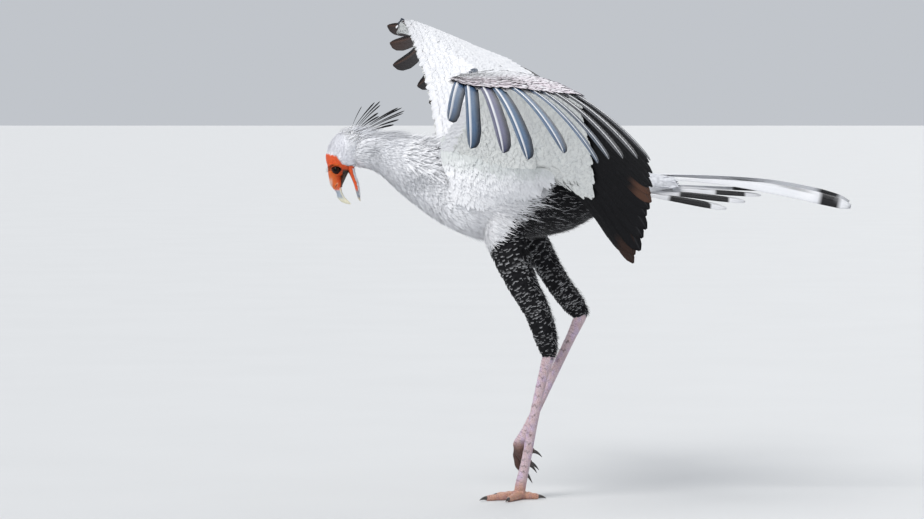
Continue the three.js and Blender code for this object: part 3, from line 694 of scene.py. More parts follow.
class Palette:
    """Builds node materials that read their colour from the Tint attribute."""

    def __init__(self, name, roughness):
        self.material = bpy.data.materials.new(name)
        self.material.use_nodes = True
        self.nodes = self.material.node_tree.nodes
        self.links = self.material.node_tree.links
        self.shader = self.nodes["Principled BSDF"]
        self.shader.inputs["Roughness"].default_value = roughness
        self.object_place = self.node("ShaderNodeTexCoord").outputs["Object"]
        tint = self.node("ShaderNodeAttribute", attribute_name="Tint")
        self.colour = tint.outputs["Color"]
        self.height = None

    def node(self, kind, **values):
        """A node with its properties set."""
        made = self.nodes.new(kind)
        for key, value in values.items():
            setattr(made, key, value)
        return made

    def math(self, operation, a, b=0.0):
        """The result of one sum on numbers or sockets."""
        made = self.node("ShaderNodeMath", operation=operation)
        for socket, value in zip(made.inputs, (a, b)):
            if isinstance(value, (int, float)):
                socket.default_value = value
            else:
                self.links.new(value, socket)
        return made.outputs[0]

    def noise(self, pitch, detail=3.0, place=None):
        """Uneven patches of about pitch metres."""
        made = self.node("ShaderNodeTexNoise")
        made.inputs["Scale"].default_value = 1 / pitch
        made.inputs["Detail"].default_value = detail
        self.links.new(place or self.object_place, made.inputs["Vector"])
        return made.outputs["Fac"]

    def cells(self, pitch, edges=True):
        """Scales of about pitch metres: the distance to their edges, or to their middles."""
        made = self.node("ShaderNodeTexVoronoi", feature="DISTANCE_TO_EDGE" if edges else "F1")
        made.inputs["Scale"].default_value = 1 / pitch
        self.links.new(self.object_place, made.inputs["Vector"])
        return made.outputs["Distance"]

    def span(self, value, low, high, start=0.0, end=1.0):
        """The value moved from low..high to start..end, held inside."""
        made = self.node("ShaderNodeMapRange")
        made.clamp = True
        for key, number in (("From Min", low), ("From Max", high), ("To Min", start), ("To Max", end)):
            made.inputs[key].default_value = number
        self.links.new(value, made.inputs["Value"])
        return made.outputs["Result"]

    def shade(self, factor, colour, mode="MIX"):
        """Mixes another colour over the one so far."""
        made = self.node("ShaderNodeMix", data_type="RGBA", blend_type=mode)
        if isinstance(factor, (int, float)):
            made.inputs["Factor"].default_value = factor
        else:
            self.links.new(factor, made.inputs["Factor"])
        self.links.new(self.colour, made.inputs["A"])
        made.inputs["B"].default_value = (*colour, 1)
        self.colour = made.outputs["Result"]

    def raise_by(self, value, weight):
        """Adds weight times value to the bump's height."""
        part = self.math("MULTIPLY", value, weight)
        self.height = part if self.height is None else self.math("ADD", self.height, part)

    def finish(self, depth=0.0, **settings):
        """Joins colour and bump to the shader and sets its plain numbers."""
        self.links.new(self.colour, self.shader.inputs["Base Color"])
        if self.height is not None:
            bump = self.node("ShaderNodeBump")
            bump.inputs["Strength"].default_value = 1.0
            bump.inputs["Distance"].default_value = depth
            self.links.new(self.height, bump.inputs["Height"])
            self.links.new(bump.outputs["Normal"], self.shader.inputs["Normal"])
        for key, value in settings.items():
            self.shader.inputs[key.replace("_", " ")].default_value = value
        return self.material


def barb_lines(palette, across, along, slant):
    """Fine ridges that leave a feather's shaft at a slant on both sides: a sine of the place along plus
    the distance from the shaft."""
    place = palette.node("ShaderNodeUVMap", uv_map="Vane").outputs["UV"]
    split = palette.node("ShaderNodeSeparateXYZ")
    palette.links.new(place, split.inputs[0])
    off_shaft = palette.math("ABSOLUTE", palette.math("SUBTRACT", split.outputs[0], 0.5))
    run = palette.math("MULTIPLY", split.outputs[1], along)
    back = palette.math("MULTIPLY", off_shaft, slant)
    streak = palette.math("MULTIPLY", split.outputs[0], across)
    wave = palette.math("SINE", palette.math("ADD", palette.math("SUBTRACT", run, back), streak))
    return palette.span(wave, -1.0, 1.0)


def plume_material(name, roughness, across, along, slant, depth, contrast, sheen, gloss=0.35):
    """Feather: tinted, with barb ridges, faint patches and a soft sheen."""
    palette = Palette(name, roughness)
    barbs = barb_lines(palette, across, along, slant)
    furrows = palette.math("MULTIPLY", palette.math("SUBTRACT", 1.0, barbs), contrast)
    palette.shade(furrows, (0.02, 0.02, 0.025))
    patches = palette.span(palette.noise(0.035), 0.35, 0.7, 0.0, 0.10)
    palette.shade(patches, (0.55, 0.57, 0.62), "MULTIPLY")
    palette.raise_by(barbs, 1.0)
    palette.raise_by(palette.noise(0.004), 0.5)
    return palette.finish(depth, Sheen_Weight=sheen, Sheen_Roughness=0.4, Specular_IOR_Level=gloss)


def bare_skin_material(name, roughness, pitch, depth):
    """Bare skin: tinted, with small cells between dark creases, fine pores and blotches."""
    palette = Palette(name, roughness)
    crease = palette.span(palette.cells(pitch), 0.0, 0.12, 1.0, 0.0)
    palette.shade(palette.math("MULTIPLY", crease, 0.45), (0.10, 0.03, 0.02))
    blotch = palette.span(palette.noise(pitch * 6), 0.4, 0.7, 0.0, 0.3)
    palette.shade(blotch, (0.55, 0.35, 0.25), "MULTIPLY")
    palette.raise_by(palette.span(palette.cells(pitch), 0.0, 0.3), 1.0)
    palette.raise_by(palette.noise(pitch * 0.5), 0.5)
    return palette.finish(depth, Subsurface_Weight=0.08, Subsurface_Scale=0.004)


def horn_material(name, roughness):
    """Horn: tinted, with fine growth streaks down its length and a dull gloss."""
    palette = Palette(name, roughness)
    stretch = palette.node("ShaderNodeMapping")
    stretch.inputs["Scale"].default_value = (3.0, 3.0, 0.6)
    palette.links.new(palette.object_place, stretch.inputs["Vector"])
    streaks = palette.noise(0.004, 4.0, stretch.outputs["Vector"])
    palette.shade(palette.span(streaks, 0.45, 0.75, 0.0, 0.35), (0.35, 0.33, 0.32), "MULTIPLY")
    palette.raise_by(streaks, 1.0)
    return palette.finish(0.0004, Coat_Weight=0.25)


def eye_material():
    """Wet eye: the tint carries pupil and iris, and fibres run through it under a clear gloss."""
    palette = Palette("wet_eye", 0.06)
    palette.shade(palette.span(palette.noise(0.0012), 0.4, 0.7, 0.0, 0.4), (0.3, 0.2, 0.1), "MULTIPLY")
    return palette.finish(Coat_Weight=0.04, Coat_Roughness=0.05, Specular_IOR_Level=0.1)


def floor_material():
    """Pale studio floor with a faint unevenness."""
    palette = Palette("studio_floor", 0.75)
    palette.shade(palette.span(palette.noise(0.5), 0.3, 0.7, 0.0, 0.06), (0.6, 0.6, 0.6), "MULTIPLY")
    palette.raise_by(palette.noise(0.01), 1.0)
    return palette.finish(0.0002)


class BirdColours(bpy.types.PropertyGroup):
    """The plumage and skin colours, in linear light."""

    white: bpy.props.FloatVectorProperty(
        name="White", description="Breast and wing coverts", subtype="COLOR", default=(0.90, 0.905, 0.93))
    grey: bpy.props.FloatVectorProperty(
        name="Grey", description="Neck, crown and back", subtype="COLOR", default=(0.50, 0.53, 0.60))
    black: bpy.props.FloatVectorProperty(
        name="Black", description="Thighs, crest and flight feathers", subtype="COLOR",
        default=(0.0055, 0.0055, 0.0070))
    # Slate is painted sky reflection: the blue that the sky lends to the black outer flight feathers.
    slate: bpy.props.FloatVectorProperty(
        name="Slate", description="Bloom on the outer flight feathers", subtype="COLOR",
        default=(0.055, 0.125, 0.255))
    brown: bpy.props.FloatVectorProperty(
        name="Brown", description="Worn feathers", subtype="COLOR", default=(0.075, 0.035, 0.022))
    mask: bpy.props.FloatVectorProperty(
        name="Mask", description="Bare skin of the face", subtype="COLOR", default=(0.86, 0.095, 0.004))
    leg: bpy.props.FloatVectorProperty(
        name="Leg", description="Bare skin of the legs", subtype="COLOR", default=(0.66, 0.52, 0.57))
    foot: bpy.props.FloatVectorProperty(
        name="Foot", description="Bare skin of the toes", subtype="COLOR", default=(0.60, 0.34, 0.25))
    horn: bpy.props.FloatVectorProperty(
        name="Horn", description="Middle of the bill", subtype="COLOR", default=(0.30, 0.35, 0.42))
    pale_horn: bpy.props.FloatVectorProperty(
        name="Pale horn", description="Tip of the bill", subtype="COLOR", default=(0.78, 0.74, 0.56))
    claw: bpy.props.FloatVectorProperty(
        name="Claw", description="Claws", subtype="COLOR", default=(0.035, 0.030, 0.028))


class CoatSizes(bpy.types.PropertyGroup):
    """The lengths and numbers of the feathers."""

    breast_length: bpy.props.FloatProperty(
        name="Breast feather", description="Length of a breast feather", unit="LENGTH", default=0.042)
    neck_length: bpy.props.FloatProperty(
        name="Neck feather", description="Length of a neck hackle", unit="LENGTH", default=0.024)
    head_length: bpy.props.FloatProperty(
        name="Head feather", description="Length of a crown feather", unit="LENGTH", default=0.010)
    thigh_length: bpy.props.FloatProperty(
        name="Thigh feather", description="Length of a thigh feather", unit="LENGTH", default=0.020)
    body_roots: bpy.props.IntProperty(
        name="Body roots", description="Places tried for body feathers", default=47000)
    thigh_roots: bpy.props.IntProperty(
        name="Thigh roots", description="Places tried for each thigh's feathers", default=5600)
    head_roots: bpy.props.IntProperty(
        name="Head roots", description="Places tried for head feathers", default=16000)


class StageSizes(bpy.types.PropertyGroup):
    """The camera's settings."""

    distance: bpy.props.FloatProperty(
        name="Distance", description="From the camera to the bird's middle", unit="LENGTH", default=8.0)
    eye_level: bpy.props.FloatProperty(
        name="Eye level", description="Height of the camera", unit="LENGTH", default=0.83)
    lens: bpy.props.FloatProperty(
        name="Lens", description="Focal length on a 36 mm frame, in millimetres", default=146.5)
    tilt: bpy.props.FloatProperty(
        name="Tilt", description="How far the camera looks down", unit="ROTATION", default=0.03974)


def colours():
    """The colour settings as arrays by name."""
    held = bpy.context.scene.bird_colours
    return {name: np.array(getattr(held, name)) for name in BirdColours.__annotations__}


def sizes():
    """The coat's settings."""
    return bpy.context.scene.coat_sizes


def body_tint(points):
    """The trunk's and neck's markings by place: white breast, pale grey neck with darker streaks on its side
    that are deepened by painted shade, greyer back, and black belly and vent behind a ragged slanting edge."""
    tone = colours()
    x, y, z = points[..., 0], points[..., 1], points[..., 2]
    ragged = (wavy(points, 0.03, 5) - 0.5) * 0.035
    back = step_between(0.72, 0.775, z + ragged) * step_between(-0.22, -0.08, x)
    neck = step_between(-0.19, -0.28, x + ragged) * (0.06 + 0.18 * wavy(points, 0.05, 9))
    tint = mix(tone["white"], tone["grey"], np.maximum(0.45 * back, neck)[..., None])
    # The darker collar behind the head and low on the neck's side: grey streaks deepened by painted shade
    # under the head and along the neck's lower side.
    collar = np.exp(-(((x + 0.335) / 0.014) ** 2 + ((z - 0.742) / 0.018) ** 2)) * 1.0
    collar += np.exp(-(((x + 0.235) / 0.035) ** 2 + ((z - 0.690) / 0.020) ** 2)) * 0.7
    collar = np.clip(collar * (0.4 + 0.9 * wavy(points * [0.6, 2, 2], 0.012, 11)), 0, 1)
    tint = mix(tint, tone["grey"] * 0.42, collar[..., None] * 0.8)
    black = step_between(-0.004, 0.010, x + 0.080 + ragged * 0.7 - 0.80 * (z - 0.54))
    black = black * step_between(0.725, 0.70, z + ragged) * step_between(0.235, 0.19, x + ragged)
    return mix(tint, tone["black"], black[..., None])


def body_depth(u):
    """The coat's depth over the trunk and neck, in metres."""
    return keyed(BODY_COAT, u) * MM


def vane_tints(base, rows, columns, spread, generator):
    """A tint for every point of every vane: the vane's own tint, a little lighter or darker each."""
    own = base * (1 + spread * generator.uniform(-1, 1, (len(base), 1)))
    return np.broadcast_to(own[:, None, None], (len(base), rows, columns, 3)).copy()


def skin_places(u, v):
    """Places on the skin's own unwrap for a form whose parameters run from 0 to 1."""
    return np.stack([0.02 + 0.96 * (v % 1), 0.02 + 0.96 * np.clip(u, 0, 1)], -1)


class BIRD_OT_skin(bpy.types.Operator):
    """Builds the one skin under trunk, neck, thighs and wing arms"""

    bl_idname = "bird.skin"
    bl_label = "Skin"

    def execute(self, context):
        """The CAD's limbs, drawn in by the coat's depth and melted together."""
        t = np.linspace(0, 1, 60)[:, None]
        angle = np.arange(48) * TURN / 48
        parts = [loft_point(TRUNK_AND_NECK, t, angle, body_depth(t))]
        for side in SIDES:
            parts.append(loft_point(THIGHS[side], t * 0.985, angle, THIGH_COAT * MM))
            parts += [wing_arm(side, low, high) for low, high in
                      ((HAND_END[side] + 0.05, WRIST), (WRIST, ELBOW), (ELBOW, INNERMOST))]
        mesh = settled_mesh("skin", parts, 0.0052, 4)
        points = mesh_points(mesh)
        tone = colours()
        tints = body_tint(points)
        on_wing = np.abs(points[:, 1]) > 0.1
        tints[on_wing] = tone["white"] * 0.9
        on_thigh = (points[:, 2] < 0.60) & (points[:, 0] > -0.1) & (np.abs(points[:, 1]) < 0.1)
        on_thigh &= points[:, 2] < 0.555 + 0.4 * np.maximum(points[:, 0], 0)
        tints[on_thigh] = tone["black"]
        piece = finished_object(mesh, "skin", bare_skin_material("body_skin", 0.8, 0.004, 0.0004),
                                tints)
        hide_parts("trunk", "neck", "thigh_left", "thigh_right",
                    *(f"wing_{side}_{part}" for side in SIDES for part in ("hand", "forearm", "upper_arm")))
        return {"FINISHED"}


def wing_arm(side, low, high):
    """A length of the wing as a closed slab, drawn in by the coat: rings run round the wing's section
    from the leading edge over the top to the end of the coverts and back below."""
    k = np.linspace(low, high, 16)[:, None]
    around = np.concatenate([np.linspace(-1, 1, 14), np.linspace(1, -1, 14)[1:-1]])
    above = np.concatenate([np.ones(14), -np.ones(12)])
    edge = keyed(COVERT_EDGE, k)
    v = mix(-0.96, edge * 0.97, (around + 1) / 2)
    middle = wing_middle(side)
    k = np.broadcast_to(k, v.shape)
    rise = np.maximum(wing_depth(k, v) / 2 - WING_COAT * MM * 0.6, 0.8 * MM) * above
    return middle.point(k, v) + middle.normal(k, v) * rise[..., None]


EYE_OPENING = (10.2, 6.4)
EYE_TILT = -0.10


def head_relief(points):
    """How far the bare face stands out, in metres: hollow sockets, swollen lids, an overhanging brow,
    folds behind the eye, a swollen cere with a slit nostril, and the crease of the gape."""
    x, y, z = (points[..., i] / MM for i in range(3))
    dx, dz = x - EYE["centre"][0], z - EYE["centre"][2]
    across = dx * np.cos(EYE_TILT) + dz * np.sin(EYE_TILT)
    along = -dx * np.sin(EYE_TILT) + dz * np.cos(EYE_TILT)
    reach = np.hypot(across / EYE_OPENING[0], along / EYE_OPENING[1])
    bearing = np.arctan2(along, across)
    beside = step_between(6, 14, np.abs(y))
    socket = -9.0 * step_between(1.02, 0.84, reach)
    lid = 1.5 * np.exp(-(((reach - 1.16) / 0.13) ** 2))
    groove = -1.0 * np.exp(-(((reach - 1.45) / 0.12) ** 2))
    over = step_between(0.3, 0.9, np.cos(bearing - 2.25))
    brow = 3.4 * over * np.exp(-(((reach - 1.75) / 0.28) ** 2))
    folds = 0.35 * np.sin(reach * 15) * np.exp(-(((reach - 2.3) / 0.5) ** 2))
    cere = 0.9 * np.exp(-(((z - 672) / 7) ** 2))
    slit = np.hypot((x + 391.0 - 0.45 * (z - 668)) / 1.5, (z - 668) / 4.2)
    nostril = -2.6 * step_between(1.1, 0.5, slit) * beside
    rim = 0.7 * np.exp(-(((slit - 1.45) / 0.3) ** 2)) * beside
    gape = -1.6 * np.exp(-(((x + 377 + 0.25 * (z - 690)) / 1.8) ** 2)) * step_between(712, 700, z) * beside
    return ((socket + lid + groove + brow + folds) * beside + cere + nostril + rim + gape) * MM


def mask_share(points):
    """1 on the bare orange face and 0 on the feathered head, with a soft uneven edge. The rear edge slants
    forward above the eye and runs to the jaw below it."""
    x, z = points[..., 0] / MM, points[..., 2] / MM
    uneven = (wavy(points, 0.008, 3) - 0.5) * 4
    top = step_between(736, 731, z + uneven + 0.25 * (x + 395))
    slant = np.where(z > 713, -391.5 + 0.75 * (734 - z), -375.7)
    rear_at = mix(slant, -364.0, step_between(716, 710, z))
    rear = step_between(1.6, -1.6, x - rear_at + uneven * 0.5)
    return top * rear


class BIRD_OT_face(bpy.types.Operator):
    """Builds the head with its bare face, lids, brow and cere"""

    bl_idname = "bird.face"
    bl_label = "Face"

    def execute(self, context):
        """The head's loft on a fine grid, drawn in under the feathers and moved by the face's relief."""
        rows, columns = 190, 240
        t = np.linspace(0, 1, rows)[:, None]
        angle = np.arange(columns) * TURN / columns
        points = loft_point(HEAD, t, angle)
        mask = mask_share(points)
        points = loft_point(HEAD, t, angle, HEAD_COAT * MM * (1 - mask))
        outward = HEAD_FORM.normal(np.broadcast_to(t, mask.shape), np.broadcast_to(angle / TURN, mask.shape))
        points = points + outward * (head_relief(points) * mask)[..., None]
        tone = colours()
        x, y, z = (points[..., i] / MM for i in range(3))
        tint = mix(mix(tone["white"], tone["grey"], 0.3), tone["mask"], mask[..., None])
        dx, dz = x - EYE["centre"][0], z - EYE["centre"][2]
        reach = np.hypot(dx / EYE_OPENING[0], dz / EYE_OPENING[1])
        beside = step_between(6, 14, np.abs(y))
        rim = beside * step_between(1.30, 1.02, reach)
        tint = mix(tint, np.array([0.10, 0.012, 0.006]), rim[..., None] * 0.95)
        # A lighter orange arc on the upper side of the eye: a painted highlight on the upper lid.
        ring = beside * np.exp(-(((reach - 1.55) / 0.16) ** 2)) * step_between(-0.3, 0.6, dz / 8 - dx / 14)
        tint = mix(tint, np.array([1.0, 0.24, 0.02]), ring[..., None] * 0.7)
        yellow = step_between(712, 690, z) * step_between(-384, -396, x) * mask * 0.35
        tint = mix(tint, np.array([0.80, 0.26, 0.02]), yellow[..., None])
        slit = np.hypot((x + 391.0 - 0.45 * (z - 668)) / 1.5, (z - 668) / 4.2)
        pale = beside * np.exp(-(((slit - 1.6) / 0.35) ** 2))
        tint = mix(tint, np.array([0.85, 0.62, 0.40]), pale[..., None] * 0.6)
        # The nostril slit is painted near black: painted shade in the opening.
        tint = mix(tint, np.array([0.02, 0.012, 0.01]), (beside * step_between(1.25, 0.8, slit))[..., None])
        lightened = step_between(-396.5, -401, x) * step_between(690, 676, z)
        tint = mix(tint, np.array([0.80, 0.66, 0.58]), lightened[..., None] * 0.7)
        # Face skin inside the gape is painted near black: painted shade in the open mouth.
        inside_mouth = step_between(-380.0, -376.5, x - 0.12 * (z - 690)) * step_between(707, 700, z)
        tint = mix(tint, np.array([0.020, 0.022, 0.014]), inside_mouth[..., None])
        piece = tube_piece("face", points[None], bare_skin_material("face_skin", 0.42, 0.0022, 0.0006),
                           "face_skin", tint[None])
        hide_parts("head")
        return {"FINISHED"}


class BIRD_OT_eyes(bpy.types.Operator):
    """Builds both eyes with their lashes"""

    bl_idname = "bird.eyes"
    bl_label = "Eyes"

    def execute(self, context):
        """A ball with a swollen cornea: rings of growing angle from the line of sight."""
        tone = colours()
        material = eye_material()
        for side, sign in SIDES.items():
            centre = EYE["centre"] * MM * [1, sign, 1]
            sight = unit(np.array([-0.16, sign, -0.02]))
            level = unit(np.cross(UP, sight))
            rise = np.cross(sight, level)
            polar = np.linspace(0.02, np.pi - 0.02, 40)[:, None]
            around = np.arange(48) * TURN / 48
            cornea = 0.6 * np.exp(-((polar / 0.5) ** 2))
            radius = (EYE["radius"] - 0.6 + cornea) * MM
            points = (centre + sight * (np.cos(polar) * radius)[..., None]
                      + level * (np.sin(polar) * np.cos(around) * radius)[..., None]
                      + rise * (np.sin(polar) * np.sin(around) * radius)[..., None])
            polar_all = np.broadcast_to(polar, points.shape[:-1])[..., None]
            iris = mix(np.array([0.022, 0.006, 0.003]), np.array([0.008, 0.002, 0.001]),
                       step_between(0.65, 1.0, polar_all))
            tint = mix(np.array([0.002, 0.002, 0.002]), iris, step_between(0.36, 0.42, polar_all))
            eye = tube_piece(f"eyeball_{side}", points[None], material, "eye", tint[None])
            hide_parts(f"eye_{side}")
        lashes = []
        for sign in SIDES.values():
            bearing = np.linspace(1.5, 3.4, 18)
            start = np.stack([EYE["centre"][0] + np.cos(bearing) * 13, np.full(18, sign * 25.5),
                              EYE["centre"][2] + np.sin(bearing) * 10], -1)
            out = np.stack([np.cos(bearing) * 0.9, np.full(18, sign * 0.9), np.sin(bearing) * 0.6 + 0.1], -1)
            lashes.append(curved_quills(start * MM, unit(out), 0.013, 0.00045, [0, 0, -0.004]))
        points = np.concatenate(lashes)
        tint = np.broadcast_to(tone["black"], points.shape)
        tube_piece("lashes", points, plume_material("lash", 0.5, 0, 4, 0, 0.0001, 0.1, 0.0),
                   "black_feather", tint)
        return {"FINISHED"}


def curved_quills(starts, directions, length, radius, droop, rows=8, corners=6):
    """Thin round quills: each runs straight from its start and is moved by droop times the square of the
    way along, while its radius narrows to a point."""
    t = np.linspace(0, 1, rows)[:, None]
    length = np.broadcast_to(length, len(starts))[:, None, None]
    line = starts[:, None] + directions[:, None] * t * length + np.array(droop) * t**2
    side = unit(np.cross(directions, UP + 0.01))
    lift = np.cross(directions, side)
    around = np.arange(corners) * TURN / corners
    ring = (side[:, None, None] * np.cos(around)[:, None] + lift[:, None, None] * np.sin(around)[:, None])
    return line[:, :, None] + ring * (radius * (1 - 0.85 * t))[..., None]


class BIRD_OT_bill(bpy.types.Operator):
    """Builds the upper and lower bill and a dark wedge of painted shade in the open mouth"""

    bl_idname = "bird.bill"
    bl_label = "Bill"

    def execute(self, context):
        """Both halves follow their CAD lofts on a fine grid, with cutting edges drawn to a ridge."""
        tone = colours()
        t = np.linspace(0, 1, 80)[:, None]
        angle = np.arange(72) * TURN / 72
        self.upper(tone, t, angle)
        self.lower(tone, t, angle)
        self.lining(t, angle)
        return {"FINISHED"}

    def upper(self, tone, t, angle):
        """The hooked upper half: its ridge steps back behind the cere, its sides are pressed flat, and a
        pale cutting edge runs down each side behind a palate painted near black, as painted shade inside the
        open mouth."""
        points = loft_point(BILL_UPPER, t, angle)
        mid = points.mean(1, keepdims=True)
        ridge = np.maximum(-np.sin(angle), 0) ** 2
        step_back = 0.34 * np.exp(-(((t - 0.20) / 0.14) ** 2)) * ridge
        pressed = 0.16 * np.abs(np.cos(angle)) ** 3 * (1 - t)
        palate = 0.30 * np.maximum(np.sin(angle) - 0.75, 0) / 0.25 * np.ones_like(t)
        points = mix(points, mid, (step_back + pressed + palate)[..., None])
        z = points[..., 2] / MM
        streak = wavy(points * [1, 1, 0.25], 0.004, 61)[..., None]
        streaked = tone["horn"] * (0.75 + 0.5 * streak)
        tint = mix(tone["pale_horn"], streaked, step_between(637, 648, z)[..., None])
        tint = mix(tint, tone["horn"] * [1.25, 1.0, 0.9], step_between(655, 659, z)[..., None])
        tint = mix(tint, tone["mask"], step_between(659, 662, z)[..., None])
        edge = np.exp(-(((np.sin(angle) - 0.55) / 0.22) ** 2))[None, :, None] * np.ones_like(tint[..., :1])
        tint = mix(tint, tone["pale_horn"] * 1.1, edge * 0.85)
        # The palate is painted near black: painted shade inside the open mouth.
        below = step_between(0.72, 0.86, np.sin(angle))[None, :, None] * np.ones_like(tint[..., :1])
        tint = mix(tint, np.array([0.030, 0.028, 0.018]), below * step_between(632, 640, z)[..., None])
        piece = tube_piece("upper_bill", points[None], horn_material("bill_horn", 0.28), "horn", tint[None])
        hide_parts("bill_upper")

    def lower(self, tone, t, angle):
        """The lower half: a trough with an orange side, pale edges and a grey end with a pale tip."""
        points = loft_point(BILL_LOWER, t, angle)
        scoop = np.maximum(-np.sin(angle), 0) ** 2 * 3.2 * MM * step_between(0.0, 0.25, t) * (1 - 0.6 * t)
        points = points + np.array([1.0, 0, 0.3]) * scoop[..., None]
        z = points[..., 2] / MM
        tint = mix(tone["pale_horn"], tone["horn"], step_between(640, 647, z)[..., None])
        tint = mix(tint, tone["mask"], step_between(655, 664, z)[..., None])
        # The inside of the trough is painted near black: painted shade inside the open mouth.
        inner = step_between(-0.45, -0.75, np.sin(angle))[None, :, None] * np.ones_like(tint[..., :1])
        tint = mix(tint, MOUTH_SHADE, inner * 0.95 * step_between(640, 650, z)[..., None])
        material = bare_skin_material("jaw_skin", 0.4, 0.0022, 0.0003)
        piece = tube_piece("lower_bill", points[None], material, "face_skin", tint[None])
        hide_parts("bill_lower")

    def lining(self, t, angle):
        """A dark wedge that fills the corner of the gape, painted near black as the shade inside the open
        mouth; it thins towards its lower end.
        """
        keys = [[-368, 0, 711, 6, 6, 8], [-369, 0, 703, 6, 8, 12], [-372, 0, 692, 4, 8, 11],
                [-376, 0, 680, 2.5, 6, 9], [-380, 0, 668, 1.2, 4, 6]]
        points = loft_point(keys, t, angle)
        moist = wavy(points, 0.006, 67)[..., None]
        tint = mix(np.array([0.018, 0.022, 0.014]), np.array([0.060, 0.030, 0.022]), moist)
        tube_piece("mouth_shade_wedge", points[None], bare_skin_material("mouth_skin", 0.3, 0.003, 0.0003),
                   "face_skin", tint[None])


class BIRD_OT_body_feathers(bpy.types.Operator):
    """Lays the feathers of breast, back, belly and neck"""

    bl_idname = "bird.body_feathers"
    bl_label = "Body feathers"

    def execute(self, context):
        """Vanes flow from the head to the tail over the body's loft, shorter and finer up the neck."""
        material = plume_material("contour_plume", 0.9, 10, 6, 4, 0.0003, 0.05, 0.2)
        held = sizes()
        places = {"coat_breast": (0.02, 0.36), "coat_shoulders": (0.36, 0.58), "coat_neck": (0.58, 0.97)}
        shares = {"coat_breast": 0.30, "coat_shoulders": 0.27, "coat_neck": 0.42}
        for name, (low, high) in places.items():
            count = int(held.body_roots * shares[name])
            generator = rng_for(name)
            u, v = even_roots(BODY_FORM, count, (low, high), (0, 1))
            number = len(u)
            along_u, _ = BODY_FORM.slopes(u, v)
            fine = step_between(0.5, 0.72, u)
            length = mix(held.breast_length, held.neck_length, fine) * generator.uniform(0.75, 1.3, number)
            length *= keyed([[0, 0.6], [0.2, 1], [0.85, 1], [1, 0.5]], u)
            width = mix(0.0105, 0.0048, fine) * generator.uniform(0.7, 1.2, number)
            depth = body_depth(u)
            tip = depth * generator.uniform(-0.22, 0.08, number)
            rows, columns = 5, 3
            points = lay(BODY_FORM, u, v, -along_u, length, width, -depth - 0.001, tip, leaf, rows, columns,
                         lift_power=0.75, hollow=0.25, turn=generator.normal(0, 0.10, number),
                         bend=generator.normal(0, 0.06, number))
            roots = BODY_FORM.point(u, v)
            base = body_tint(roots)
            tints = vane_tints(base, rows, columns, 0.045, generator)
            vane_piece(name, [(points, tints, skin_places(u, v))], material, "white_feather",
                       facing=[BODY_FORM.normal(u, v)], share=0.85)
        return {"FINISHED"}


PLUMES = [
    # kind, places tried, places along, places round, length, width, height of the tip, lean of the lie
    ("breast", 4800, (0.27, 0.48), (0.0, 0.5), 0.050, 0.0030, 0.007, 0.0),
    ("fringe", 2200, (0.30, 0.47), (0.02, 0.48), 0.055, 0.0026, 0.010, 0.0),
    ("shoulder", 2200, (0.54, 0.69), (0.50, 0.72), 0.045, 0.0064, 0.012, 0.0),
    ("streak", 2200, (0.10, 0.42), (0.0, 0.5), 0.036, 0.0016, 0.006, 0.0),
    ("black", 5200, (0.10, 0.42), (0.0, 0.5), 0.036, 0.0046, 0.006, 0.0),
    ("mane", 900, (0.74, 0.95), (0.60, 0.90), 0.050, 0.0022, 0.010, 0.5),
    ("hackle", 5200, (0.52, 0.92), (0.0, 1.0), 0.036, 0.0020, 0.002, 0.0),
    ("flank", 2600, (0.30, 0.62), (0.50, 0.66), 0.060, 0.0052, 0.020, 0.0),
    ("flank_right", 2600, (0.30, 0.62), (0.84, 1.0), 0.060, 0.0052, 0.020, 0.0),
]


class BIRD_OT_plumes(bpy.types.Operator):
    """Lays the loose plumes of breast, belly, flanks and nape"""

    bl_idname = "bird.plumes"
    bl_label = "Loose plumes"

    def execute(self, context):
        """Thin long locks that rise a little off the coat: a soft white fringe over the black belly, pale
        streaks in the black vent, and a ragged mane on the nape."""
        tone = colours()
        material = plume_material("loose_plume", 0.9, 6, 4, 3, 0.0002, 0.04, 0.25)
        tones = {
            "breast": tone["white"], "fringe": tone["white"], "streak": tone["white"] * 0.6,
            "black": tone["black"], "mane": mix(tone["white"], tone["grey"], 0.2),
            "hackle": mix(tone["white"], tone["grey"], 0.25), "flank": tone["white"] * 0.97,
            "flank_right": tone["white"] * 0.97, "shoulder": tone["white"] * 0.97,
        }
        held = {"loose_plumes": ([], []), "belly_plumes": ([], [])}
        for kind, tried, along, around, length, width, tip_height, rise in PLUMES:
            generator = rng_for(kind + "plume")
            u, v = even_roots(BODY_FORM, tried, along, around)
            whiteness = body_tint(BODY_FORM.point(u, v))[:, 0] / tone["white"][0]
            keep = {"breast": whiteness > 0.5, "streak": whiteness < 0.4, "black": whiteness < 0.5,
                    "fringe": whiteness > 0.5, "flank": whiteness > 0.5,
                    "flank_right": whiteness > 0.5}.get(kind, np.ones(len(u), bool))
            u, v = u[keep], v[keep]
            number = len(u)
            along_u, _ = BODY_FORM.slopes(u, v)
            rows, columns = 5, 3
            heading = unit(-along_u) + UP * rise
            points = lay(BODY_FORM, u, v, heading, length * generator.uniform(0.6, 1.25, number), width,
                         -body_depth(u) * 0.7, tip_height * generator.uniform(-0.3, 1.0, number), strand,
                         rows, columns, lift_power=1.5, turn=generator.normal(0, 0.15, number),
                         bend=generator.normal(0, 0.14, number))
            base = np.broadcast_to(tones[kind], (number, 3))
            tints = vane_tints(base, rows, columns, 0.08, generator)
            batches, facing = held["belly_plumes" if kind in ("black", "streak") else "loose_plumes"]
            batches.append((points, tints, skin_places(u, v)))
            facing.append(BODY_FORM.normal(u, v))
        for name, (batches, facing) in held.items():
            slot = "white_feather" if name == "loose_plumes" else "black_feather"
            vane_piece(name, batches, material, slot, facing=facing, share=0.75)
        return {"FINISHED"}


